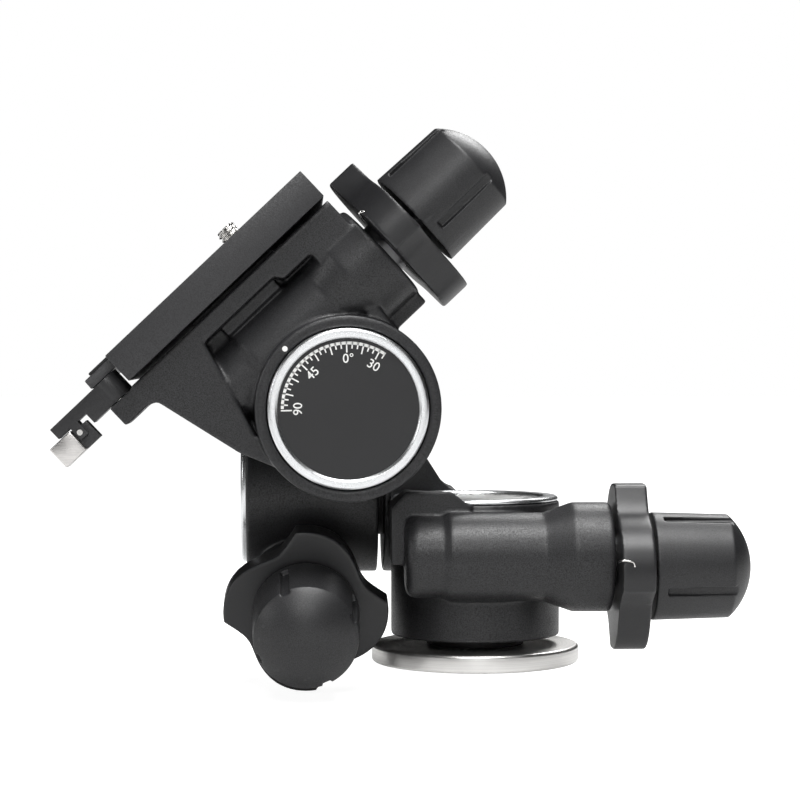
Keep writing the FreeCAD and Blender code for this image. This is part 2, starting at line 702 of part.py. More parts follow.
def make_base():
    """Base disc with a bevelled edge and its steel thread insert."""
    disc = turned("BaseDisc", [
        ("insert_radius + 0.02", "0"), ("base_radius - edge_bevel", "0"), ("base_radius", "edge_bevel"),
        ("base_radius", "base_thick - edge_bevel"), ("base_radius - edge_bevel", "base_thick"),
        ("insert_radius + 0.02", "base_thick"),
    ])
    finished(disc, "base_disc")
    insert = turned("Insert", [
        ("socket_radius", "0"), ("insert_radius", "0"), ("insert_radius", "socket_depth"),
        ("socket_radius", "socket_depth"),
    ])
    finished(insert, "tripod_thread_insert")


# Outline of the pan arm seen from the front: flange on the left, sloping shoulder on the right
ARM_OUTLINE = [
    ("-arm_face_x", "side_axis_z - 26"), ("-arm_face_x", "side_axis_z + 26"), ("-22.4", "side_axis_z + 26"),
    ("-13.4", "side_axis_z + 9.6"), ("-8.2", "side_axis_z + 1.6"), ("-5.6", "side_axis_z - 0.4"),
    ("-arm_inner_x", "side_axis_z - 1.1"), ("-arm_inner_x", "side_axis_z - 4"),
    ("-10", "side_axis_z - 12"), ("-10", "side_axis_z - 26"),
]


# Outline of the apron ahead of the arm, which hides the dial's left side from the front
APRON_FACE = "(ring_radius + apron_gap - side_worm_x)"
APRON_OUTLINE = [
    (APRON_FACE, "apron_bottom"), (APRON_FACE, "apron_top - 4.4"), (f"{APRON_FACE} + 4", "apron_top"),
    ("-8.6", "apron_top"), ("-3", "apron_top - 4"), ("-3", "apron_bottom + 2"), ("-13", "apron_bottom"),
]


def make_pan_housing():
    """Pan housing with the arm that carries the side stage."""
    web = prism("ArmWeb", "XZ_Plane", ARM_OUTLINE, "side_radius - side_axis_y - 60", "60")
    side_axis = ("-arm_face_x", "side_axis_y", "side_axis_z")
    disc = cylinder("ArmDisc", "side_radius", "arm_face_x", side_axis, "x")
    arm = common("Arm", web, disc)
    # The arm's outline stands in the part's frame, the housing in the stage's, so it is lowered to it
    arm.Placement = PAN.place.inverse()
    apron = prism("ArmApron", "XZ_Plane", APRON_OUTLINE, "3", "apron_front - 3")
    apron.Placement = PAN.place.inverse()
    dial_room = cylinder("DialClearance", "pan_flange_radius + seat_gap", "60", ("0", "0", PAN.rim))
    tail_room = cylinder("SidePostSocket", "post_radius + 0.02", "side_post_tail",
                         ("-arm_face_x", "side_axis_y", "side_axis_z - pan_worm_z"), "x")
    shell = stage_shell(PAN, [arm, apron], [dial_room, tail_room])
    finished(shell, "pan_housing", PAN.place)


def in_stage(stage, item):
    """Turns a solid that was drawn in the part's frame into a stage's own frame."""
    item.Placement = stage.place.inverse().multiply(item.Placement)
    return item


def make_side_housing():
    """Side tilt housing with the boss that carries the front stage."""
    boss = document.addObject("Part::Cylinder", "FrontBoss")
    boss.Placement = Placement(Vector(0, 0, 0), TURNS["y"])
    bind(boss, "Radius", "boss_radius")
    bind(boss, "Height", "side_axis_y + boss_face_y")
    bind_place(boss, ("-front_axis_x", "-boss_face_y", "front_axis_z"))
    neck = block("BossNeck", ("2 * boss_radius", "side_axis_y + boss_face_y", "front_axis_z - side_axis_z"),
                 ("-front_axis_x - boss_radius", "-boss_face_y", "side_axis_z"))
    half = block("BossLimit", ("40", "80", "80"), ("-side_face_x - 40", "-40", "side_axis_z - 4"))
    raised = common("BossSolid", fused("BossParts", [boss, neck]), half)
    in_stage(SIDE, raised)
    socket = document.addObject("Part::Cylinder", "FrontPostSocket")
    socket.Placement = Placement(Vector(0, 0, 0), TURNS["y"])
    bind(socket, "Radius", "post_radius + 0.02")
    bind(socket, "Height", "post_tail")
    bind_place(socket, ("-front_axis_x", "-boss_face_y", "front_axis_z"))
    holder = fused("SocketTool", [socket, cylinder("SocketPilot", "2", "3",
                   ("-front_axis_x", "-boss_face_y + 5", "front_axis_z"), "y")])
    in_stage(SIDE, holder)
    finished(stage_shell(SIDE, [raised], [holder]), "side_housing", SIDE.place)


# Level outline of the tilting body under its platform, from the front tilt axis
BODY_OUTLINE = [
    ("-platform_left", "platform_top"), ("-38.3", "37.9"), ("-36.4", "37.1"), ("-29.9", "11.8"),
    ("-23.5", "-2.3"), ("-15", "-16"), ("15", "-16"), ("24.5", "4"), ("25.2", "14"), ("30", "24"),
    ("platform_right", "33"), ("platform_right", "platform_top"),
]
POCKET_OUTLINE = [
    ("-15.4", "42.4"), ("8.1", "42.4"), ("11.8", "37.6"), ("21.7", "37.6"), ("21.7", "10"), ("-24", "10"),
]


def make_front_housing():
    """Front tilt housing: the tilting body with its platform, side pocket and stop lug."""
    body_low = FRONT.back
    web = prism("BodyWeb", "XY_Plane", BODY_OUTLINE, body_low, "34.5")
    pocket = prism("BodyPocket", "XY_Plane", POCKET_OUTLINE, "6", "20")
    hollow = without("BodyHollowed", web, [pocket])
    slab = block("Platform", ("platform_left + platform_right", "platform_thick", "platform_depth"),
                 ("-platform_left", "platform_top - platform_thick", f"{body_low} + 34.5 - platform_depth"))
    inset = block("PocketInset", ("19.5", "4", "6"), ("-10", "36.7", "4"))
    lug = block("StopLug", ("13", "3.8", "9"), ("23.2", "6.2", "-4"))
    rib_outline = [("22", "9"), ("35.8", "9"), ("35.8", "9.9"), ("25.3", "18")]
    rib = prism("LugRib", "XY_Plane", rib_outline, "-1", "4")
    hinge_boss = block("LeverBoss", ("9.7", "6.4", "12"), ("-47", "38.1", "2"))
    tie = block("LeverBossTie", ("12", "6", "12"), ("-42", "38.3", "2"))
    pin_room = cylinder("LeverPinRoom", "1.52", "8", ("-43.3", "37", "8"), "y")
    shell = stage_shell(FRONT, [hollow, slab, inset, lug, rib, hinge_boss, tie], [pin_room])
    return finished(shell, "front_housing", FRONT.place)


# Quick release, in the front stage's frame: X to the right, Y up, Z towards the viewer
FRONT_PLANE = f"({FRONT.back} + 37.5)"
BACK_PLANE = f"({FRONT_PLANE} - seat_depth)"
MIDDLE = f"({FRONT_PLANE} - seat_depth / 2)"
SEAT_TOP = "(seat_low + seat_thick)"
PLATE_LOW = "(plate_top - pad_thick - plate_thick)"
SEAT_FLOOR = f"({PLATE_LOW} - 0.1)"
LEVER_X = "-43.3"
LEVER_Z = "8"


def make_seat():
    """Quick release seat with its dovetail channel and the room for its locking jaw."""
    base = block("SeatBlock", ("platform_left + platform_right - 0.7", "seat_thick", "seat_depth"),
                 ("-platform_left + 0.7", "seat_low", BACK_PLANE))
    channel = prism("SeatChannel", "YZ_Plane", [
        (SEAT_FLOOR, f"{BACK_PLANE} + seat_wall"),
        (f"{SEAT_TOP} + 1", f"{BACK_PLANE} + seat_wall + plate_slope + 0.4"),
        (f"{SEAT_TOP} + 1", f"{FRONT_PLANE} - seat_wall - plate_slope - 0.4"),
        (SEAT_FLOOR, f"{FRONT_PLANE} - seat_wall"),
    ], "-60", "120")
    jaw_low = f"{FRONT_PLANE} - seat_wall - 0.9"
    jaw_room = block("JawRoom", ("24.6", "2.6", "4"), ("-28.3", SEAT_FLOOR, jaw_low))
    screw_room = cylinder("ScrewRoom", "9", "6", ("camera_screw_x", f"{SEAT_FLOOR} - 1.4", MIDDLE), "y")
    foot = block("SeatFoot", ("30", "seat_low - platform_top", "24"),
                 ("-15", "platform_top", f"{MIDDLE} - 6"))
    body = without("Seat", base, [channel, jaw_room, screw_room])
    finished(fused("SeatWithFoot", [body, foot]), "quick_release_seat", FRONT.place)


def make_jaw():
    """Locking jaw that the lever presses on the plate's front edge."""
    low = f"{FRONT_PLANE} - seat_wall + 0.05"
    jaw = prism("Jaw", "YZ_Plane", [
        (f"{SEAT_FLOOR} + 0.05", low), (f"{SEAT_FLOOR} + 2.45", f"{low} + 0.3"),
        (f"{SEAT_FLOOR} + 2.45", f"{low} + 1.9"), (f"{SEAT_FLOOR} + 0.05", f"{low} + 1.9"),
    ], "-28", "24")
    finished(jaw, "locking_jaw", FRONT.place)


def make_plate():
    """Sliding plate with undercut long edges, its pad and its camera screw."""
    gap = "seat_gap"
    plate = prism("Plate", "YZ_Plane", [
        (PLATE_LOW, f"{BACK_PLANE} + seat_wall + {gap}"),
        (f"{PLATE_LOW} + plate_thick", f"{BACK_PLANE} + seat_wall + {gap} + plate_slope"),
        (f"{PLATE_LOW} + plate_thick", f"{FRONT_PLANE} - seat_wall - {gap} - plate_slope"),
        (PLATE_LOW, f"{FRONT_PLANE} - seat_wall - {gap}"),
    ], "-plate_left", "plate_left + plate_right")
    bore = cylinder("PlateBore", "camera_screw_radius + 0.1", "20",
                    ("camera_screw_x", f"{PLATE_LOW} - 1", MIDDLE), "y")
    recess = cylinder("PlateRecess", "7.5", "2.8", ("camera_screw_x", f"{PLATE_LOW} - 1", MIDDLE), "y")
    finished(without("PlateBored", plate, [bore, recess]), "quick_release_plate", FRONT.place)
    pad = block("Pad", ("plate_left + plate_right - 2.4", "pad_thick", "seat_depth - 2 * seat_wall - 7"),
                ("-plate_left + 2", f"{PLATE_LOW} + plate_thick", f"{BACK_PLANE} + seat_wall + 3.5"))
    pad_bore = cylinder("PadBore", "camera_screw_radius + 0.5", "20",
                        ("camera_screw_x", f"{PLATE_LOW} - 1", MIDDLE), "y")
    finished(without("PadBored", pad, [pad_bore]), "plate_pad", FRONT.place)
    shank = cylinder("ScrewShank", "camera_screw_radius - 0.3", "pad_thick + plate_thick - 0.2",
                     ("camera_screw_x", f"{PLATE_LOW} + 0.2", MIDDLE), "y")
    thread = cylinder("ScrewThread", "camera_screw_radius", "camera_screw_proud",
                      ("camera_screw_x", "plate_top", MIDDLE), "y")
    head = cylinder("ScrewHead", "7.2", "1.5", ("camera_screw_x", f"{PLATE_LOW} + 0.2", MIDDLE), "y")
    slot = block("ScrewSlot", ("20", "1.1", "1.6"),
                 ("camera_screw_x - 10", f"{PLATE_LOW} - 0.2", f"{MIDDLE} - 0.8"))
    screw = without("CameraScrew", fused("ScrewSolid", [shank, thread, head]), [slot])
    finished(screw, "camera_screw", FRONT.place)


def make_lever():
    """Release lever on its pin, with the spring round the pin and the catch at the lever's end."""
    hub = cylinder("LeverHub", "4.5", "6.9", (LEVER_X, "44.8", LEVER_Z), "y")
    arm = block("LeverArm", ("9.6", "6.9", "8"), ("-52.8", "44.8", f"{LEVER_Z} - 4"))
    thin = block("LeverTip", ("11", "3.5", "8"), ("-62.9", "48.2", f"{LEVER_Z} - 4"))
    ear_low = block("LeverEarLow", ("2.8", "5", "1"), ("-58.7", "43.9", f"{LEVER_Z} - 4"))
    ear_high = block("LeverEarHigh", ("2.8", "5", "1"), ("-58.7", "43.9", f"{LEVER_Z} + 3"))
    bore = cylinder("LeverBore", "1.55", "12", (LEVER_X, "42", LEVER_Z), "y")
    ear_bore = cylinder("EarBore", "0.82", "12", ("-57.5", "45.6", f"{LEVER_Z} - 6"))
    lever = without("Lever", fused("LeverSolid", [hub, arm, thin, ear_low, ear_high]), [bore, ear_bore])
    finished(lever, "release_lever", FRONT.place)
    pin = document.addObject("PartDesign::Body", "LeverPin")
    pin_round = circle_sketch(pin, "LeverPinRound", "XZ_Plane", [(LEVER_X, LEVER_Z, "1.5")], "-38.6")
    pad_on(pin, "LeverPinPad", pin_round, "13.2", True)
    finished(pin, "lever_pin", FRONT.place)
    catch_pin = document.addObject("PartDesign::Body", "CatchPin")
    pin_circle = [("-57.5", "45.6", "0.8")]
    catch_round = circle_sketch(catch_pin, "CatchPinRound", "XY_Plane", pin_circle, f"{LEVER_Z} - 4")
    pad_on(catch_pin, "CatchPinPad", catch_round, "8")
    finished(catch_pin, "catch_pin", FRONT.place)
    tab = prism("CatchTab", "XY_Plane", [
        ("-66.8", "41"), ("-59.3", "41"), ("-59.3", "47.8"), ("-66.8", "47.8"),
    ], f"{LEVER_Z} - 4", "8")
    body = block("CatchBody", ("5.2", "5.9", "5.6"), ("-59.3", "41", f"{LEVER_Z} - 2.8"))
    catch_bore = cylinder("CatchBore", "0.85", "12", ("-57.5", "45.6", f"{LEVER_Z} - 6"))
    block_shape = without("CatchBlock", body, [catch_bore])
    finished(block_shape, "catch_block", FRONT.place)
    finished(tab, "catch_tab", FRONT.place)


def make_all():
    """Builds every sub-part, the stages first."""
    for stage in (PAN, SIDE, FRONT):
        make_wheel(stage)
        make_post(stage)
        make_ring_nut(stage)
        make_bush(stage)
        make_washer(stage)
        make_dial(stage)
        make_carrier(stage)
        make_release_ring(stage, FIRST_POINTS[stage.key])
        make_return_spring(stage)
        make_worm(stage)
        make_knob(stage)
    make_base()
    make_pan_housing()
    make_side_housing()
    make_front_housing()
    make_seat()
    make_jaw()
    make_plate()
    make_lever()


def check_all():
    """Stops on any object that failed or any sub-part without one sound solid."""
    for item in document.Objects:
        if "Invalid" in item.State or "Error" in item.State:
            raise RuntimeError(f"{item.Name} failed: {item.State}")
    for label, item in SUB_PARTS.items():
        shape = item.Shape
        if shape.isNull() or not shape.isValid() or len(shape.Solids) < 1:
            raise RuntimeError(f"{label} has no sound solid")


def export_all():
    """Writes each sub-part to its own file, named after its node."""
    os.makedirs("parts", exist_ok=True)
    for label, item in SUB_PARTS.items():
        item.Shape.exportStep(f"parts/{label}.step")
        print(f"{label}: {item.Shape.Volume:.1f} mm3, {len(item.Shape.Solids)} solid")


make_all()
document.recompute()
check_all()
export_all()
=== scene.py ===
"""Geared tripod head: finishes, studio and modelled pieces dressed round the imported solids."""

import json
import logging
import math
from dataclasses import dataclass
from enum import Enum

import bmesh
import bpy
from mathutils import Matrix, Vector

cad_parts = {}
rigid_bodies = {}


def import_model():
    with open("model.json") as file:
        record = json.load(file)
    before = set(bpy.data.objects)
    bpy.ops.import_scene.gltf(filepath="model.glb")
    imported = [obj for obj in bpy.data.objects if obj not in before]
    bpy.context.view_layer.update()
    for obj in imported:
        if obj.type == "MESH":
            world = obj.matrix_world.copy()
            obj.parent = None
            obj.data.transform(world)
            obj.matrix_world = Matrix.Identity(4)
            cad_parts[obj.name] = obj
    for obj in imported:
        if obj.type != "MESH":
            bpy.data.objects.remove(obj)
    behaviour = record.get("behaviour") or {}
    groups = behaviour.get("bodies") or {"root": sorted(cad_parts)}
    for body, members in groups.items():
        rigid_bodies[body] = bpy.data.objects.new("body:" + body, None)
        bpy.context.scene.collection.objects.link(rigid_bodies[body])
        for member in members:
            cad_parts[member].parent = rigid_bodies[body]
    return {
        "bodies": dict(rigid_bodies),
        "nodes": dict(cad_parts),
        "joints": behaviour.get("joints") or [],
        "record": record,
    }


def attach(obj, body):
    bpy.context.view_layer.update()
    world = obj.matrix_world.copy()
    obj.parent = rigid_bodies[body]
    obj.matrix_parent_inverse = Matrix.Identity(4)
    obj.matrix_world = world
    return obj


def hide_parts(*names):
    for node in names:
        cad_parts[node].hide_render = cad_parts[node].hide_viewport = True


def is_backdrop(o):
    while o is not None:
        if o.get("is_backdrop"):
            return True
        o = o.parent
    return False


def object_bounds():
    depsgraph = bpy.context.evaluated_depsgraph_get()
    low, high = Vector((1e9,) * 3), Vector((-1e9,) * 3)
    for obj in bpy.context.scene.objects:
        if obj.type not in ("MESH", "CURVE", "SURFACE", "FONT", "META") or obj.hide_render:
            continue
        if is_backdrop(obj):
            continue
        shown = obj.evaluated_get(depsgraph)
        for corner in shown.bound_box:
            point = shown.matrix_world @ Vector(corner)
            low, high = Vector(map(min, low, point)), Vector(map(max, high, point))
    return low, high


LOG = logging.getLogger("geared_head")
MM = 0.001

# Where the photograph was taken from, in metres, and the lens that gives its perspective
CAMERA_PLACE = Vector((-0.0499, -0.660, 0.0901))
CAMERA_AIM = Vector((-0.0218, 0.0, 0.0756))
CAMERA_LENS_MM = 102.6
SENSOR_WIDTH_MM = 36.0
CAMERA_NEAR = 0.01
LAMP_AIM = Vector((-0.02, 0.0, 0.07))
FLOOR_GAP = 0.5 * MM
MERGE_DISTANCE = 0.002 * MM


class Grain(Enum):
    """How a surface is broken up at close range."""

    POWDER = "powder"
    MOULDED = "moulded"
    SMOOTH = "smooth"
    TURNED = "turned"
    BRUSHED = "brushed"


@dataclass(frozen=True)
class Finish:
    """One finish: its colour, gloss and the grain of its surface."""

    name: str
    colour: tuple[float, float, float]
    roughness: float
    metallic: float = 0.0
    grain: Grain = Grain.SMOOTH
    grain_mm: float = 0.3
    depth_mm: float = 0.02
    speckle: float = 0.0
    # Strength of a highlight painted into the colour on convex edges
    wear: float = 0.0
    coat: float = 0.0


class FinishShop:
    """Makes each finish once, as a node material on Object coordinates."""

    def __init__(self) -> None:
        """Starts with no materials made."""
        self.made: dict[str, bpy.types.Material] = {}

    def material(self, finish: Finish) -> bpy.types.Material:
        """Gives the material of a finish, made on first use.

        Args:
            finish: The finish wanted.

        Returns:
            The Blender material.
        """
        if finish.name not in self.made:
            self.made[finish.name] = self._build(finish)
        return self.made[finish.name]

    def _build(self, finish: Finish) -> bpy.types.Material:
        """Builds the node tree of one finish.

        Args:
            finish: The finish to build.

        Returns:
            The new material.
        """
        material = bpy.data.materials.new(finish.name)
        material.use_nodes = True
        tree = material.node_tree
        shader = tree.nodes["Principled BSDF"]
        shader.inputs["Base Color"].default_value = (*finish.colour, 1.0)
        shader.inputs["Roughness"].default_value = finish.roughness
        shader.inputs["Metallic"].default_value = finish.metallic
        shader.inputs["Coat Weight"].default_value = finish.coat
        coordinates = tree.nodes.new("ShaderNodeTexCoord")
        place = coordinates.outputs["Object"]
        if finish.grain in (Grain.TURNED, Grain.BRUSHED):
            place = self._streaks(tree, place, finish)
        fine = self._noise(tree, place, 1.0 / (finish.grain_mm * MM), 3.0, 0.6)
        broad = self._noise(tree, coordinates.outputs["Object"], 60.0, 3.0, 0.55)
        self._colour(tree, shader, finish, fine, broad)
        self._gloss(tree, shader, finish, fine, broad)
        if finish.depth_mm > 0.0:
            bump = tree.nodes.new("ShaderNodeBump")
            bump.inputs["Strength"].default_value = 1.0
            bump.inputs["Distance"].default_value = finish.depth_mm * MM
            tree.links.new(fine, bump.inputs["Height"])
            tree.links.new(bump.outputs["Normal"], shader.inputs["Normal"])
        return material

    @staticmethod
    def _noise(tree: bpy.types.NodeTree, place, scale: float, detail: float, rough: float):
        """Adds a noise texture and gives its value output.

        Args:
            tree: The material's node tree.
            place: The socket with the coordinates.
            scale: Noise scale per metre.
            detail: Octaves of the noise.
            rough: How strong the high octaves are.

        Returns:
            The noise's value socket.
        """
        noise = tree.nodes.new("ShaderNodeTexNoise")
        noise.inputs["Scale"].default_value = scale
        noise.inputs["Detail"].default_value = detail
        noise.inputs["Roughness"].default_value = rough
        tree.links.new(place, noise.inputs["Vector"])
        return noise.outputs["Fac"]

    @staticmethod
    def _streaks(tree: bpy.types.NodeTree, place, finish: Finish):
        """Stretches the coordinates so that the grain runs in lines.

        Args:
            tree: The material's node tree.
            place: The socket with the coordinates.
            finish: The finish, turned round Z or brushed along X.

        Returns:
            The socket with the stretched coordinates.
        """
        if finish.grain is Grain.BRUSHED:
            mapping = tree.nodes.new("ShaderNodeMapping")
            mapping.inputs["Scale"].default_value = (0.03, 1.0, 1.0)
            tree.links.new(place, mapping.inputs["Vector"])
            return mapping.outputs["Vector"]
        split = tree.nodes.new("ShaderNodeSeparateXYZ")
        tree.links.new(place, split.inputs["Vector"])
        flat = tree.nodes.new("ShaderNodeCombineXYZ")
        tree.links.new(split.outputs["X"], flat.inputs["X"])
        tree.links.new(split.outputs["Y"], flat.inputs["Y"])
        length = tree.nodes.new("ShaderNodeVectorMath")
        length.operation = "LENGTH"
        tree.links.new(flat.outputs["Vector"], length.inputs[0])
        rings = tree.nodes.new("ShaderNodeCombineXYZ")
        tree.links.new(length.outputs["Value"], rings.inputs["X"])
        tree.links.new(split.outputs["Z"], rings.inputs["Z"])
        return rings.outputs["Vector"]

    @staticmethod
    def _ramp(tree: bpy.types.NodeTree, value, low: float, high: float, low_out: float, high_out: float):
        """Maps a value range to another, clamped.

        Args:
            tree: The material's node tree.
            value: The socket read.
            low: Value that gives low_out.
            high: Value that gives high_out.
            low_out: Output at low.
            high_out: Output at high.

        Returns:
            The socket with the mapped value.
        """
        node = tree.nodes.new("ShaderNodeMapRange")
        node.inputs["From Min"].default_value = low
        node.inputs["From Max"].default_value = high
        node.inputs["To Min"].default_value = low_out
        node.inputs["To Max"].default_value = high_out
        tree.links.new(value, node.inputs["Value"])
        return node.outputs["Result"]

    def _colour(self, tree: bpy.types.NodeTree, shader, finish: Finish, fine, broad) -> None:
        """Varies the colour with the fine grain and with broad clouds, and paints a highlight onto convex
        edges by lightening their colour.

        Args:
            tree: The material's node tree.
            shader: The Principled shader.
            finish: The finish being built.
            fine: Value of the fine grain.
            broad: Value of the broad clouds.
        """
        share = self._ramp(tree, fine, 0.35, 0.68, 1.0 - finish.speckle, 1.0 + 1.6 * finish.speckle)
        cloud = self._ramp(tree, broad, 0.3, 0.7, 0.93, 1.07)
        product = tree.nodes.new("ShaderNodeMath")
        product.operation = "MULTIPLY"
        tree.links.new(share, product.inputs[0])
        tree.links.new(cloud, product.inputs[1])
        scaled = tree.nodes.new("ShaderNodeVectorMath")
        scaled.operation = "SCALE"
        scaled.inputs[0].default_value = finish.colour
        tree.links.new(product.outputs["Value"], scaled.inputs["Scale"])
        result = scaled.outputs["Vector"]
        # Painted highlight: convex edges, found by their pointiness, are mixed towards a lighter colour
        if finish.wear > 0.0:
            geometry = tree.nodes.new("ShaderNodeNewGeometry")
            edge = self._ramp(tree, geometry.outputs["Pointiness"], 0.515, 0.56, 0.0, finish.wear)
            mix = tree.nodes.new("ShaderNodeMix")
            mix.data_type = "RGBA"
            mix.inputs["B"].default_value = (*[min(1.0, 3.2 * c + 0.05) for c in finish.colour], 1.0)
            tree.links.new(edge, mix.inputs["Factor"])
            tree.links.new(result, mix.inputs["A"])
            result = mix.outputs["Result"]
        tree.links.new(result, shader.inputs["Base Color"])

    def _gloss(self, tree: bpy.types.NodeTree, shader, finish: Finish, fine, broad) -> None:
        """Varies the roughness a little with the grain and the clouds.

        Args:
            tree: The material's node tree.
            shader: The Principled shader.
            finish: The finish being built.
            fine: Value of the fine grain.
            broad: Value of the broad clouds.
        """
        spread = 0.18 if finish.grain is Grain.POWDER else 0.08
        local = self._ramp(tree, fine, 0.3, 0.7, finish.roughness + spread, finish.roughness - spread)
        cloud = self._ramp(tree, broad, 0.3, 0.7, -0.03, 0.03)
        total = tree.nodes.new("ShaderNodeMath")
        total.operation = "ADD"
        total.use_clamp = True
        tree.links.new(local, total.inputs[0])
        tree.links.new(cloud, total.inputs[1])
        tree.links.new(total.outputs["Value"], shader.inputs["Roughness"])


# Where a finish below gives an edge strength, a highlight is painted into its colour on convex edges
POWDER_COAT = Finish("black_powder_coat", (0.011, 0.011, 0.012), 0.44, grain=Grain.POWDER,
                     grain_mm=0.34, depth_mm=0.05, speckle=0.8, wear=0.25)
KNOB_SKIN = Finish("knob_grain", (0.015, 0.015, 0.016), 0.44, grain=Grain.MOULDED,
                   grain_mm=0.28, depth_mm=0.03, speckle=0.5, wear=0.15)
RING_SKIN = Finish("ring_grain", (0.013, 0.013, 0.014), 0.38, grain=Grain.MOULDED,
                   grain_mm=0.22, depth_mm=0.012, speckle=0.15, wear=0.2)
DIAL_FACE = Finish("dial_face", (0.013, 0.013, 0.014), 0.42, grain=Grain.MOULDED,
                   grain_mm=0.2, depth_mm=0.006, speckle=0.12)
PRINT_WHITE = Finish("print_white", (0.86, 0.86, 0.84), 0.5, depth_mm=0.0)
PRINT_BLACK = Finish("print_black", (0.03, 0.03, 0.03), 0.5, depth_mm=0.0)
PAN_FACE = Finish("pan_face", (0.62, 0.62, 0.61), 0.36, metallic=1.0, grain_mm=0.5, depth_mm=0.004,
                  speckle=0.25)
SATIN_SILVER = Finish("satin_silver", (0.80, 0.81, 0.82), 0.28, metallic=1.0, grain=Grain.SMOOTH,
                      grain_mm=0.15, depth_mm=0.002, speckle=0.05)
TURNED_ALUMINIUM = Finish("turned_aluminium", (0.78, 0.77, 0.75), 0.36, metallic=1.0, grain=Grain.TURNED,
                          grain_mm=0.22, depth_mm=0.006, speckle=0.08)
HUB_ALUMINIUM = Finish("hub_aluminium", (0.60, 0.60, 0.60), 0.38, metallic=1.0, grain_mm=0.3, depth_mm=0.004)
TURNED_STEEL = Finish("turned_steel", (0.20, 0.20, 0.205), 0.36, metallic=1.0, grain_mm=0.2, depth_mm=0.004)
BRONZE = Finish("bronze", (0.60, 0.42, 0.22), 0.36, metallic=1.0, grain_mm=0.25, depth_mm=0.004, speckle=0.08)
WASHER = Finish("washer_polymer", (0.02, 0.02, 0.02), 0.6, grain_mm=0.3, depth_mm=0.01)
SPRING_STEEL = Finish("spring_steel", (0.36, 0.36, 0.37), 0.3, metallic=1.0, grain_mm=0.3, depth_mm=0.002)
PAD_RUBBER = Finish("pad_rubber", (0.014, 0.014, 0.014), 0.70, grain=Grain.MOULDED,
                    grain_mm=0.5, depth_mm=0.05, speckle=0.2)
PLATE_BLACK = Finish("plate_black", (0.012, 0.012, 0.013), 0.40, grain=Grain.POWDER,
                     grain_mm=0.28, depth_mm=0.02, speckle=0.25, wear=0.3)
NICKEL = Finish("nickel_steel", (0.72, 0.71, 0.69), 0.2, metallic=1.0, grain_mm=0.3, depth_mm=0.002)
TAB_STEEL = Finish("tab_steel", (0.62, 0.60, 0.58), 0.34, metallic=1.0, grain=Grain.BRUSHED,
                   grain_mm=0.16, depth_mm=0.006, speckle=0.1, wear=0.2)
LEVER_BLACK = Finish("lever_black", (0.013, 0.013, 0.014), 0.42, grain=Grain.POWDER,
                     grain_mm=0.3, depth_mm=0.03, speckle=0.25, wear=0.3)

# The record's slot, and the finish that its solids get
SLOT_FINISH = {
    "black_powder_coat": POWDER_COAT, "machined_aluminium": TURNED_ALUMINIUM, "satin_silver": SATIN_SILVER,
    "dial_black": DIAL_FACE, "hub_aluminium": HUB_ALUMINIUM, "turned_steel": TURNED_STEEL,
    "bronze": BRONZE, "washer_polymer": WASHER, "spring_steel": SPRING_STEEL, "knob_rubber": KNOB_SKIN,
    "ring_polymer": RING_SKIN, "pad_rubber": PAD_RUBBER, "plate_black": PLATE_BLACK,
    "nickel_steel": NICKEL, "tab_steel": TAB_STEEL, "lever_black": LEVER_BLACK,
}


@dataclass(frozen=True)
class Lamp:
    """One soft lamp: where it stands, how large it is and how strong."""

    name: str
    place: tuple[float, float, float]
    size: float
    watts: float


LAMPS = (
    Lamp("front_softbox", (-0.10, -1.05, 0.75), 0.45, 5.0),
    Lamp("camera_fill", (-0.05, -1.25, 0.13), 0.35, 0.5),
    Lamp("top_softbox", (0.05, -0.30, 1.05), 0.60, 15.0),
    Lamp("left_strip", (-0.95, -0.35, 0.35), 0.35, 1.6),
    Lamp("back_top", (0.35, 0.75, 0.85), 0.50, 7.0),
)


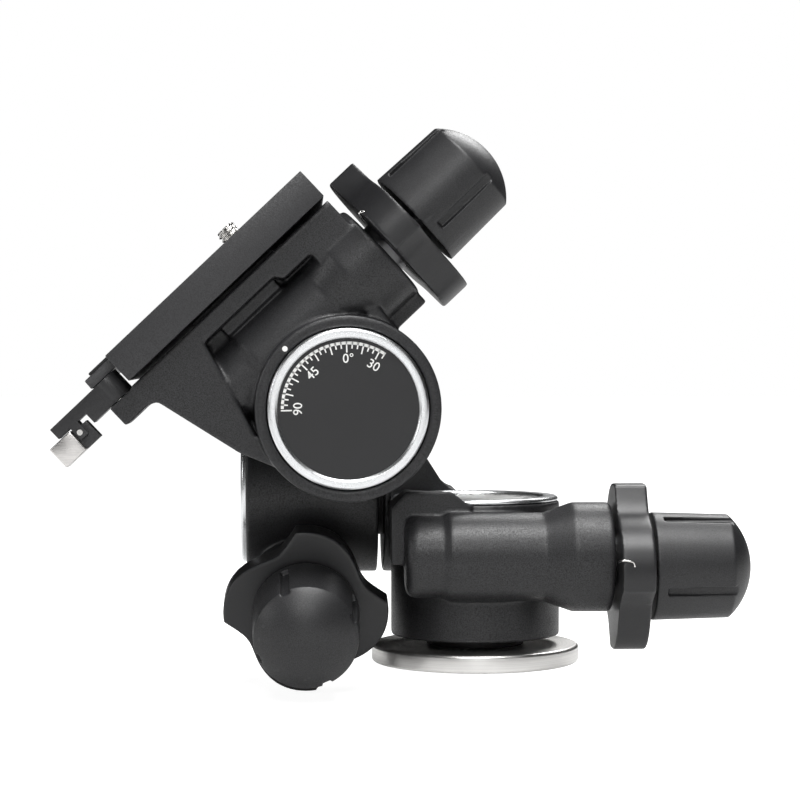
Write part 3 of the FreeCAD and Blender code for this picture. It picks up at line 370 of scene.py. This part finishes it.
@dataclass
class Studio:
    """Pale floor, soft lamps and the photograph's camera."""

    floor_height: float
    floor_size: float = 8.0
    floor_colour: float = 0.55
    floor_glow: float = 0.92
    far_glow: float = 1.02
    far_from: float = 0.5
    far_to: float = 2.0
    floor_sheen: float = 0.30
    backdrop: float = 1.0
    ambience: float = 0.01

    def build(self) -> None:
        """Adds the floor, the world, the lamps and the camera."""
        self._floor()
        self._world()
        for lamp in LAMPS:
            self._lamp(lamp)
        self._camera()
        scene = bpy.context.scene
        scene.view_settings.view_transform = "Standard"
        scene.view_settings.look = "None"
        scene.view_settings.exposure = 0.0

    def _floor(self) -> None:
        """Adds the floor as stage, under the lowest piece."""
        clear_selection()
        bpy.ops.mesh.primitive_plane_add(size=self.floor_size, location=(0, 0, self.floor_height))
        floor = bpy.context.object
        floor.name = "floor"
        material = bpy.data.materials.new("floor_pale")
        material.use_nodes = True
        tree = material.node_tree
        shader = tree.nodes["Principled BSDF"]
        shader.inputs["Base Color"].default_value = (*[self.floor_colour] * 3, 1.0)
        shader.inputs["Roughness"].default_value = 1.0
        shader.inputs["Specular IOR Level"].default_value = 0.0
        shader.inputs["Emission Color"].default_value = (1.0, 1.0, 1.0, 1.0)
        path = tree.nodes.new("ShaderNodeLightPath")
        seen = tree.nodes.new("ShaderNodeMath")
        seen.operation = "MULTIPLY_ADD"
        seen.inputs[1].default_value = self.floor_sheen
        tree.links.new(path.outputs["Is Glossy Ray"], seen.inputs[0])
        tree.links.new(path.outputs["Is Camera Ray"], seen.inputs[2])
        glow = tree.nodes.new("ShaderNodeMath")
        glow.operation = "MULTIPLY"
        place = tree.nodes.new("ShaderNodeTexCoord")
        away = tree.nodes.new("ShaderNodeVectorMath")
        away.operation = "LENGTH"
        tree.links.new(place.outputs["Object"], away.inputs[0])
        reach = tree.nodes.new("ShaderNodeMapRange")
        reach.inputs["From Min"].default_value = self.far_from
        reach.inputs["From Max"].default_value = self.far_to
        reach.inputs["To Min"].default_value = self.floor_glow
        reach.inputs["To Max"].default_value = self.far_glow
        tree.links.new(away.outputs["Value"], reach.inputs["Value"])
        tree.links.new(reach.outputs["Result"], glow.inputs[1])
        tree.links.new(seen.outputs["Value"], glow.inputs[0])
        tree.links.new(glow.outputs["Value"], shader.inputs["Emission Strength"])
        floor.data.materials.append(material)
        floor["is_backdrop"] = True

    def _world(self) -> None:
        """Sets a white backdrop for the camera and a dim surround for everything else."""
        world = bpy.data.worlds.new("surround")
        bpy.context.scene.world = world
        world.use_nodes = True
        tree = world.node_tree
        background = tree.nodes["Background"]
        background.inputs["Color"].default_value = (1.0, 1.0, 1.0, 1.0)
        path = tree.nodes.new("ShaderNodeLightPath")
        strength = tree.nodes.new("ShaderNodeMapRange")
        strength.inputs["To Min"].default_value = self.ambience
        strength.inputs["To Max"].default_value = self.backdrop
        tree.links.new(path.outputs["Is Camera Ray"], strength.inputs["Value"])
        tree.links.new(strength.outputs["Result"], background.inputs["Strength"])

    @staticmethod
    def _lamp(lamp: Lamp) -> None:
        """Adds one soft area lamp aimed at the head.

        Args:
            lamp: Where it stands, its size and power.
        """
        clear_selection()
        bpy.ops.object.light_add(type="AREA", location=lamp.place)
        light = bpy.context.object
        light.name = lamp.name
        light.data.size = lamp.size
        light.data.energy = lamp.watts
        aim = LAMP_AIM - Vector(lamp.place)
        light.rotation_euler = aim.to_track_quat("-Z", "Y").to_euler()

    @staticmethod
    def _camera() -> None:
        """Adds the camera at the photograph's place and aims it."""
        clear_selection()
        bpy.ops.object.camera_add(location=CAMERA_PLACE)
        camera = bpy.context.object
        camera.name = "photo_camera"
        camera.rotation_euler = (CAMERA_AIM - CAMERA_PLACE).to_track_quat("-Z", "Y").to_euler()
        camera.data.lens = CAMERA_LENS_MM
        camera.data.sensor_width = SENSOR_WIDTH_MM
        camera.data.clip_start = CAMERA_NEAR
        bpy.context.scene.camera = camera


@dataclass(frozen=True)
class StageFrame:
    """Where one worm stage stands: X along its worm to the knob, Z out of its dial, all in metres."""

    key: str
    origin: Vector
    across: Vector
    up: Vector
    out: Vector
    worm_side: int

    def matrix(self) -> Matrix:
        """Gives the stage's frame.

        Returns:
            The matrix from the stage's frame to the row's frame.
        """
        rows = Matrix((self.across, self.up, self.out)).transposed().to_4x4()
        return Matrix.Translation(self.origin) @ rows

    def worm_matrix(self) -> Matrix:
        """Gives the worm's frame: Z to the knob, X to the wheel.

        Returns:
            The matrix from the worm's frame to the row's frame.
        """
        side = self.worm_side
        rows = Matrix((-side * self.up, -side * self.out, self.across)).transposed().to_4x4()
        return Matrix.Translation(self.origin + side * CENTRE_DISTANCE * self.up) @ rows


CENTRE_DISTANCE = 25.0 * MM
SIDE_DROOP = math.radians(10.5)
FRONT_TILT = math.radians(43.5)

PAN = StageFrame("pan", Vector((0.0, 0.0, 0.0295)),
                 Vector((1, 0, 0)), Vector((0, 1, 0)), Vector((0, 0, 1)), -1)
SIDE = StageFrame("side", Vector((-0.0491, 0.0220, 0.0490)),
                  Vector((0, -math.cos(SIDE_DROOP), -math.sin(SIDE_DROOP))),
                  Vector((0, -math.sin(SIDE_DROOP), math.cos(SIDE_DROOP))), Vector((-1, 0, 0)), -1)
FRONT = StageFrame("front", Vector((-0.0376, -0.0236, 0.0741)),
                   Vector((math.cos(FRONT_TILT), 0, math.sin(FRONT_TILT))),
                   Vector((-math.sin(FRONT_TILT), 0, math.cos(FRONT_TILT))), Vector((0, -1, 0)), 1)
# The body that carries each stage's fixed set, and the body that its housing is
CARRIED_BY = {"pan": "base", "side": "pan_body", "front": "side_body"}
HOUSING_BODY = {"pan": "pan_body", "side": "side_body", "front": "front_body"}


@dataclass(frozen=True)
class Casting:
    """How a cast or moulded piece is rounded: its grid, how often it is smoothed, and what is kept."""

    grid_mm: float
    rounds: int
    keep: float


HOUSING_CASTING = Casting(grid_mm=0.5, rounds=7, keep=0.30)
KNOB_MOULDING = Casting(grid_mm=0.32, rounds=4, keep=0.40)
RING_MOULDING = Casting(grid_mm=0.36, rounds=4, keep=0.40)


def clear_selection() -> None:
    """Deselects everything, so that an operator acts on the new piece only."""
    bpy.ops.object.select_all(action="DESELECT")


def make_active(piece: bpy.types.Object) -> None:
    """Selects one piece alone and makes it active.

    Args:
        piece: The piece to work on.
    """
    clear_selection()
    piece.select_set(True)
    bpy.context.view_layer.objects.active = piece


def apply_modifiers(piece: bpy.types.Object) -> None:
    """Applies every modifier of a piece, in order.

    Args:
        piece: The piece to work on.
    """
    make_active(piece)
    for modifier in list(piece.modifiers):
        bpy.ops.object.modifier_apply(modifier=modifier.name)


def copy_of(node: bpy.types.Object, name: str) -> bpy.types.Object:
    """Copies a carried-over solid as a new piece with its own mesh.

    Args:
        node: The solid.
        name: The new piece's name.

    Returns:
        The new piece, at the origin.
    """
    mesh = node.data.copy()
    mesh.name = name
    piece = bpy.data.objects.new(name, mesh)
    bpy.context.scene.collection.objects.link(piece)
    mesh.materials.clear()
    if mesh.attributes.get("custom_normal"):
        mesh.attributes.remove(mesh.attributes["custom_normal"])
    make_active(piece)
    bpy.ops.object.mode_set(mode="EDIT")
    bpy.ops.mesh.select_all(action="SELECT")
    bpy.ops.mesh.remove_doubles(threshold=MERGE_DISTANCE)
    bpy.ops.object.mode_set(mode="OBJECT")
    return piece


def soften_shading(piece: bpy.types.Object, limit: float = 38.0) -> None:
    """Shades a piece smooth and marks the edges over a limit as sharp.

    Args:
        piece: The piece to shade.
        limit: Angle between faces, in degrees, from which an edge is sharp.
    """
    mesh = bmesh.new()
    mesh.from_mesh(piece.data)
    for face in mesh.faces:
        face.smooth = True
    for edge in mesh.edges:
        edge.smooth = not edge.is_manifold or edge.calc_face_angle(0.0) < math.radians(limit)
    mesh.to_mesh(piece.data)
    mesh.free()


class Modeller:
    """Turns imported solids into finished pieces: rounded castings and bevelled machined parts."""

    def __init__(self, frame: dict, shop: FinishShop) -> None:
        """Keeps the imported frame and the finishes.

        Args:
            shop: Where the finishes are made.
        """
        self.nodes = frame["nodes"]
        self.shop = shop
        self.slots = {row["node"]: row["material_slot"] for row in frame["record"]["subparts"]}

    def finish_piece(self, piece: bpy.types.Object, body: str, finish: Finish,
                     *replaced: str) -> bpy.types.Object:
        """Gives a piece its finish and its body, and hides the solids that it stands for.

        Args:
            piece: The finished piece.
            body: The CAD body that it rides on.
            finish: Its finish.
            replaced: CAD nodes that it stands for.

        Returns:
            The piece.
        """
        piece.data.materials.clear()
        piece.data.materials.append(self.shop.material(finish))
        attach(piece, body)
        if replaced:
            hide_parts(*replaced)
        LOG.info("%s rides on %s with finish %s", piece.name, body, finish.name)
        return piece

    def cast(self, node: str, name: str, body: str, finish: Finish, place: Matrix,
             casting: Casting) -> bpy.types.Object:
        """Rounds every edge of a solid as a casting or moulding has it.

        Args:
            node: The solid's name.
            name: The new piece's name.
            body: The CAD body it rides on.
            finish: Its finish.
            place: The frame that its faces are straight in.
            casting: Grid, smoothing and share of faces kept.

        Returns:
            The rounded piece.
        """
        piece = copy_of(self.nodes[node], name)
        piece.data.transform(place.inverted())
        remesh = piece.modifiers.new("grid", "REMESH")
        remesh.mode = "VOXEL"
        remesh.voxel_size = casting.grid_mm * MM
        remesh.adaptivity = 0.0
        smooth = piece.modifiers.new("rounding", "SMOOTH")
        smooth.factor = 0.5
        smooth.iterations = casting.rounds
        thin = piece.modifiers.new("thinning", "DECIMATE")
        thin.ratio = casting.keep
        apply_modifiers(piece)
        piece.data.transform(place)
        soften_shading(piece, 60.0)
        return self.finish_piece(piece, body, finish, node)

    def machined(self, node: str, name: str, body: str, finish: Finish, bevel_mm: float = 0.35,
                 segments: int = 3) -> bpy.types.Object:
        """Breaks the edges of a machined solid with a small round bevel.

        Args:
            node: The solid's name.
            name: The new piece's name.
            body: The CAD body it rides on.
            finish: Its finish.
            bevel_mm: Width of the broken edge.
            segments: Facets of the broken edge.

        Returns:
            The bevelled piece.
        """
        piece = copy_of(self.nodes[node], name)
        make_active(piece)
        bpy.ops.object.mode_set(mode="EDIT")
        bpy.ops.mesh.select_all(action="SELECT")
        bpy.ops.mesh.dissolve_limited(angle_limit=math.radians(0.6))
        bpy.ops.object.mode_set(mode="OBJECT")
        bevel = piece.modifiers.new("broken_edges", "BEVEL")
        bevel.width = bevel_mm * MM
        bevel.segments = segments
        bevel.limit_method = "ANGLE"
        bevel.angle_limit = math.radians(32.0)
        bevel.use_clamp_overlap = True
        triangles = piece.modifiers.new("triangles", "TRIANGULATE")
        triangles.keep_custom_normals = False
        apply_modifiers(piece)
        soften_shading(piece, 32.0)
        return self.finish_piece(piece, body, finish, node)


@dataclass(frozen=True)
class DialScale:
    """The printed scale of one dial: where it runs and what is written on it."""

    start: float
    end: float
    numerals: tuple[tuple[float, str], ...]
    arc_radius: float = 17.9
    arc_width: float = 0.8
    tick_step: float = 5.0
    long_every: int = 3
    short_tick: float = 1.1
    long_tick: float = 2.2
    tick_width: float = 0.38
    numeral_radius: float = 13.6
    numeral_height: float = 2.5
    print_height: float = 0.04


# Degrees from the stage's X axis, counterclockwise as seen from the front
TILT_SCALE = DialScale(start=13.0, end=136.5,
                       numerals=((136.5, "90"), (91.5, "45"), (46.5, "0°"), (16.5, "30")))
PAN_SCALE = DialScale(start=0.0, end=360.0, numerals=tuple((90.0 - a, str(a)) for a in range(0, 360, 30)),
                      arc_radius=18.3, arc_width=0.35, numeral_height=1.8, numeral_radius=15.0)
FACE_HEIGHT = {"pan": 17.6, "side": 18.0, "front": 18.0}
DOT_SIDES = 32
DOT_RADIUS = 0.75
DOT_DEPTH = 0.12


class Printer:
    """Makes the printed scales, numerals and index dots as thin raised ink."""

    def __init__(self, modeller: Modeller) -> None:
        """Keeps the modeller that finishes the pieces.

        Args:
            modeller: Gives pieces their finish and body.
        """
        self.modeller = modeller

    def scale(self, stage: StageFrame, scale: DialScale, finish: Finish) -> bpy.types.Object:
        """Prints one dial's arc, ticks and numerals.

        Args:
            stage: The stage whose dial it is.
            scale: What is printed.
            finish: The ink.

        Returns:
            The printed marks as one piece.
        """
        ink = bmesh.new()
        face = FACE_HEIGHT[stage.key]
        self._arc(ink, scale, face)
        count = int(round((scale.end - scale.start) / scale.tick_step))
        first = scale.numerals[0][0]
        for number in range(count + 1):
            angle = scale.start + number * scale.tick_step
            steps = round((angle - first) / scale.tick_step)
            length = scale.long_tick if steps % scale.long_every == 0 else scale.short_tick
            self._tick(ink, scale, face, angle, length)
        mesh = bpy.data.meshes.new(f"{stage.key}_dial_print")
        ink.to_mesh(mesh)
        ink.free()
        mesh.transform(Matrix.Scale(MM, 4))
        mesh.transform(stage.matrix())
        piece = bpy.data.objects.new(f"{stage.key}_dial_print", mesh)
        bpy.context.scene.collection.objects.link(piece)
        self.modeller.finish_piece(piece, CARRIED_BY[stage.key], finish)
        texts = [self._numeral(stage, scale, face, angle, words, finish) for angle, words in scale.numerals]
        make_active(piece)
        for text in texts:
            text.select_set(True)
        bpy.ops.object.join()
        return piece

    @staticmethod
    def _ring_point(radius: float, angle: float, height: float) -> tuple[float, float, float]:
        """Gives a point on the dial.

        Args:
            radius: From the axis, in mm.
            angle: In degrees.
            height: Along the axis, in mm.

        Returns:
            The point.
        """
        turn = math.radians(angle)
        return radius * math.cos(turn), radius * math.sin(turn), height

    def _slab(self, ink: bmesh.types.BMesh, corners: list, face: float, height: float) -> None:
        """Adds a thin closed slab over an outline.

        Args:
            ink: The mesh under construction.
            corners: Outline as (x, y) pairs, counterclockwise.
            face: Height of the dial's face.
            height: Thickness of the ink.
        """
        low = [ink.verts.new((x, y, face - height)) for x, y in corners]
        top = [ink.verts.new((x, y, face + height)) for x, y in corners]
        ink.faces.new(top)
        ink.faces.new(list(reversed(low)))
        count = len(corners)
        for here in range(count):
            after = (here + 1) % count
            ink.faces.new((low[here], low[after], top[after], top[here]))

    def _arc(self, ink: bmesh.types.BMesh, scale: DialScale, face: float) -> None:
        """Adds the scale's arc as a row of short slabs.

        Args:
            ink: The mesh under construction.
            scale: What is printed.
            face: Height of the dial's face.
        """
        half = scale.arc_width / 2
        steps = max(8, int((scale.end - scale.start) / 3.0))
        for number in range(steps):
            one = scale.start + (scale.end - scale.start) * number / steps
            two = scale.start + (scale.end - scale.start) * (number + 1) / steps
            corners = [self._ring_point(radius, angle, 0)[:2] for radius, angle in (
                (scale.arc_radius - half, one), (scale.arc_radius + half, one),
                (scale.arc_radius + half, two), (scale.arc_radius - half, two))]
            self._slab(ink, corners, face, scale.print_height)

    def _tick(self, ink: bmesh.types.BMesh, scale: DialScale, face: float, angle: float,
              length: float) -> None:
        """Adds one tick from the arc inwards.

        Args:
            ink: The mesh under construction.
            scale: What is printed.
            face: Height of the dial's face.
            angle: Where the tick is, in degrees.
            length: How far it reaches inwards, in mm.
        """
        turn = Matrix.Rotation(math.radians(angle), 2)
        outer = scale.arc_radius + scale.arc_width / 2
        half = scale.tick_width / 2
        inner = outer - scale.arc_width - length
        points = ((inner, -half), (outer, -half), (outer, half), (inner, half))
        corners = [turn @ Vector(point) for point in points]
        self._slab(ink, [tuple(corner) for corner in corners], face, scale.print_height)

    def _numeral(self, stage: StageFrame, scale: DialScale, face: float, angle: float, words: str,
                 finish: Finish) -> bpy.types.Object:
        """Writes one number with its top outwards.

        Args:
            stage: The stage whose dial it is.
            scale: What is printed.
            face: Height of the dial's face, in mm.
            angle: Where the number stands, in degrees.
            words: The number.
            finish: The ink.

        Returns:
            The number as a mesh.
        """
        clear_selection()
        bpy.ops.object.text_add(location=(0, 0, 0))
        text = bpy.context.object
        text.data.body = words
        text.data.align_x = "CENTER"
        text.data.align_y = "CENTER"
        text.data.size = scale.numeral_height * 1.4
        text.data.extrude = scale.print_height
        text.data.offset = 0.02
        bpy.ops.object.convert(target="MESH")
        text.name = f"{stage.key}_numeral_{words.replace(chr(176), 'deg')}"
        place = (Matrix.Rotation(math.radians(angle - 90.0), 4, "Z")
                 @ Matrix.Translation((0, scale.numeral_radius, face)))
        text.data.transform(place)
        text.data.transform(Matrix.Scale(MM, 4))
        text.data.transform(stage.matrix())
        text.data.materials.append(self.modeller.shop.material(finish))
        return text

    def dot(self, name: str, stage: StageFrame, body: str, radius: float, angle: float, height: float,
            finish: Finish) -> bpy.types.Object:
        """Prints one index dot.

        Args:
            name: The piece's name.
            stage: The stage whose frame it is placed in.
            body: The CAD body it rides on.
            radius: From the stage's axis, in mm.
            angle: In degrees.
            height: Along the stage's axis, in mm.
            finish: The ink.

        Returns:
            The dot.
        """
        clear_selection()
        bpy.ops.mesh.primitive_cylinder_add(vertices=DOT_SIDES, radius=DOT_RADIUS, depth=DOT_DEPTH,
                                            location=(0, 0, 0))
        dot = bpy.context.object
        dot.name = name
        dot.data.transform(Matrix.Translation(self._ring_point(radius, angle, height)))
        dot.data.transform(Matrix.Scale(MM, 4))
        dot.data.transform(stage.matrix())
        return self.modeller.finish_piece(dot, body, finish)


@dataclass
class WormStage:
    """One geared axis: its housing, knob, release ring, dial bezel, printed scale and spring hook."""

    stage: StageFrame
    scale: DialScale
    ink: Finish
    bezel_edge: float = 0.25
    dot_radius: float | None = None
    dot_angle: float = 93.0
    dot_height: float = 17.36
    hook_angle: float = 171.0
    hook_start: float = 16.7
    hook_surface: float = 23.3
    hook_gap: float = 36.3
    hook_reach: float = 3.4
    hook_wire: float = 0.28

    def build(self, modeller: Modeller, printer: Printer) -> None:
        """Builds every finished piece of the stage.

        Args:
            modeller: Rounds and bevels the solids.
            printer: Prints the scale and the index dot.
        """
        self._castings(modeller)
        self._bezel(modeller)
        self._hook(modeller)
        printer.scale(self.stage, self.scale, self.ink)
        if self.dot_radius is not None:
            key = self.stage.key
            printer.dot(f"{key}_index_dot", self.stage, HOUSING_BODY[key], self.dot_radius, self.dot_angle,
                        self.dot_height, PRINT_WHITE)

    def _castings(self, modeller: Modeller) -> None:
        """Rounds the housing, the knob and the release ring.

        Args:
            modeller: Rounds the solids.
        """
        key = self.stage.key
        worm = self.stage.worm_matrix()
        modeller.cast(f"{key}_housing", f"{key}_housing_cast", HOUSING_BODY[key], POWDER_COAT,
                      self.stage.matrix(), HOUSING_CASTING)
        modeller.cast(f"{key}_knob", f"{key}_knob_moulded", f"{key}_knob", KNOB_SKIN, worm, KNOB_MOULDING)
        modeller.cast(f"{key}_release_ring", f"{key}_ring_moulded", f"{key}_release", RING_SKIN, worm,
                      RING_MOULDING)

    def _bezel(self, modeller: Modeller) -> None:
        """Breaks the edges of the turned bezel.

        Args:
            modeller: Bevels the solid.
        """
        key = self.stage.key
        modeller.machined(f"{key}_dial_bezel", f"{key}_bezel_turned", CARRIED_BY[key], SATIN_SILVER,
                          self.bezel_edge)

    def _hook(self, modeller: Modeller) -> None:
        """Bends the spring's outer end out of the gap and over the release ring's edge.

        Args:
            modeller: Gives the wire its finish.
        """
        key = self.stage.key
        surface = self.hook_surface + self.hook_wire * 0.4
        route = ((self.hook_start, 0.0, self.hook_gap), (surface - 2.0, 0.0, self.hook_gap),
                 (surface, 0.0, self.hook_gap), (surface, 0.0, self.hook_gap + 0.8),
                 (surface, 0.2, self.hook_gap + self.hook_reach - 1.0),
                 (surface - 0.1, 0.6, self.hook_gap + self.hook_reach),
                 (surface - 0.3, 1.7, self.hook_gap + self.hook_reach))
        clear_selection()
        bpy.ops.curve.primitive_nurbs_path_add(location=(0, 0, 0))
        wire = bpy.context.object
        spline = wire.data.splines[0]
        spline.points.add(len(route) - len(spline.points))
        turn = Matrix.Rotation(math.radians(self.hook_angle), 4, "Z")
        for point, place in zip(spline.points, route):
            point.co = (*(turn @ Vector(place)), 1.0)
        spline.order_u = 3
        spline.use_endpoint_u = True
        wire.data.bevel_depth = self.hook_wire
        wire.data.bevel_resolution = 3
        wire.data.use_fill_caps = True
        bpy.ops.object.convert(target="MESH")
        wire.name = f"{key}_spring_hook"
        wire.data.transform(Matrix.Scale(MM, 4))
        wire.data.transform(self.stage.worm_matrix())
        soften_shading(wire, 50.0)
        modeller.finish_piece(wire, f"{key}_release", NICKEL)


@dataclass
class QuickRelease:
    """The seat, the sliding plate with its pad, the threaded camera screw, and the lever with its catch."""

    seat_edge: float = 0.5
    plate_edge: float = 0.3
    lever_edge: float = 0.4
    thread_pitch: float = 1.27
    thread_depth: float = 0.62
    thread_taper: float = 0.9
    thread_sides: int = 48
    core_play: float = 0.15
    rim_reach: float = 0.02
    thread_crease: float = 40.0

    def build(self, modeller: Modeller, screw: dict) -> None:
        """Builds every finished piece of the quick release.

        Args:
            modeller: Bevels the solids.
            screw: The record's mount of the camera screw.
        """
        modeller.machined("quick_release_seat", "seat_machined", "front_body", POWDER_COAT, self.seat_edge)
        modeller.machined("quick_release_plate", "plate_machined", "plate", PLATE_BLACK, self.plate_edge)
        modeller.machined("plate_pad", "pad_moulded", "plate", PAD_RUBBER, self.plate_edge)
        modeller.machined("release_lever", "lever_machined", "lever", LEVER_BLACK, self.lever_edge)
        modeller.machined("catch_block", "catch_block_machined", "catch", LEVER_BLACK, self.plate_edge)
        modeller.machined("catch_tab", "catch_tab_machined", "catch", TAB_STEEL, self.lever_edge)
        self._camera_screw(modeller, screw)

    def _camera_screw(self, modeller: Modeller, screw: dict) -> None:
        """Cuts the thread on the screw's proud end and keeps the rest of the screw.

        Args:
            modeller: Copies and finishes the screw.
            screw: The record's mount of the camera screw.
        """
        axis = Vector(screw["axis"]).normalized()
        radius = screw["dims"]["r_mm"] * MM
        length = screw["dims"]["length_mm"] * MM
        place = Matrix.Translation(Vector(screw["pos_m"])) @ axis.to_track_quat("Z", "Y").to_matrix().to_4x4()
        piece = copy_of(modeller.nodes["camera_screw"], "camera_screw_threaded")
        piece.data.transform(place.inverted())
        core = radius - (self.thread_depth + self.core_play) * MM
        for vertex in piece.data.vertices:
            across = math.hypot(vertex.co.x, vertex.co.y)
            if abs(across - radius) < self.rim_reach * MM and vertex.co.z > -length:
                vertex.co.x *= core / across
                vertex.co.y *= core / across
            if vertex.co.z > length / 2 - self.core_play * MM:
                vertex.co.z -= self.core_play * MM
        thread = self._thread(radius, length)
        make_active(piece)
        thread.select_set(True)
        bpy.ops.object.join()
        piece.data.transform(place)
        soften_shading(piece, self.thread_crease)
        modeller.finish_piece(piece, "camera_screw", NICKEL, "camera_screw")

    def _thread(self, radius: float, length: float) -> bpy.types.Object:
        """Makes the threaded end: a cylinder cut into rows, whose points follow the thread's profile.

        Args:
            radius: The thread's outer radius, in metres.
            length: The proud length, in metres.

        Returns:
            The threaded end, upright at the origin.
        """
        clear_selection()
        bpy.ops.mesh.primitive_cylinder_add(vertices=self.thread_sides, radius=radius, depth=length,
                                            location=(0, 0, 0))
        end = bpy.context.object
        mesh = bmesh.new()
        mesh.from_mesh(end.data)
        upright = [edge for edge in mesh.edges if abs(edge.verts[0].co.z - edge.verts[1].co.z) > length / 2]
        bmesh.ops.subdivide_edges(mesh, edges=upright, cuts=int(length / MM * 10))
        for vertex in mesh.verts:
            turn = math.atan2(vertex.co.y, vertex.co.x) / (2 * math.pi)
            share = (vertex.co.z / (self.thread_pitch * MM) - turn) % 1.0
            groove = 1.0 - abs(2.0 * share - 1.0)
            cut = min(1.0, max(0.0, 1.5 * groove - 0.25)) * self.thread_depth
            tip = max(0.0, vertex.co.z - (length / 2 - self.thread_taper * MM)) / MM
            vertex_radius = radius - max(cut, 0.7 * tip) * MM
            flat = Vector((vertex.co.x, vertex.co.y)).normalized() * vertex_radius
            vertex.co.x, vertex.co.y = flat
        mesh.to_mesh(end.data)
        mesh.free()
        return end


@dataclass
class TripodBase:
    """The turned base disc and the pan dial's plate."""

    disc_edge: float = 0.3
    plate_edge: float = 0.1

    def build(self, modeller: Modeller) -> None:
        """Builds the base's finished pieces.

        Args:
            modeller: Bevels the solids.
        """
        modeller.machined("base_disc", "base_turned", "base", TURNED_ALUMINIUM, self.disc_edge)
        modeller.machined("pan_dial_plate", "pan_dial_face", "base", PAN_FACE, self.plate_edge)


class GearedHead:
    """Dresses the whole head, sub-assembly by sub-assembly."""

    def __init__(self, frame: dict) -> None:
        """Prepares the finishes, the modeller, the printer and the sub-assemblies.
        """
        self.shop = FinishShop()
        self.modeller = Modeller(frame, self.shop)
        self.printer = Printer(self.modeller)
        self.nodes = frame["nodes"]
        self.mounts = {mount["name"]: mount for mount in frame["record"]["mounts"]}
        self.stages = (
            WormStage(PAN, PAN_SCALE, PRINT_BLACK),
            WormStage(SIDE, TILT_SCALE, PRINT_WHITE, dot_radius=23.5),
            WormStage(FRONT, TILT_SCALE, PRINT_WHITE, dot_radius=23.7, hook_angle=-122.0, hook_surface=21.5,
                      hook_gap=38.4, hook_reach=1.6),
        )

    def build(self) -> None:
        """Dresses the carried-over solids, then builds each sub-assembly."""
        self._dress_solids()
        for stage in self.stages:
            stage.build(self.modeller, self.printer)
        QuickRelease().build(self.modeller, self.mounts["camera_screw"])
        TripodBase().build(self.modeller)

    def _dress_solids(self) -> None:
        """Gives every carried-over solid the finish of its slot."""
        for node, solid in self.nodes.items():
            solid.data.materials.clear()
            solid.data.materials.append(self.shop.material(SLOT_FINISH[self.modeller.slots[node]]))


def main() -> None:
    """Loads the frame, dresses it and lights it."""
    logging.basicConfig(level=logging.INFO)
    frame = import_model()
    cad_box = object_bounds()
    clear_selection()
    GearedHead(frame).build()
    clear_selection()
    Studio(floor_height=float(cad_box[0][2]) - FLOOR_GAP).build()


if __name__ == "__main__":
    main()
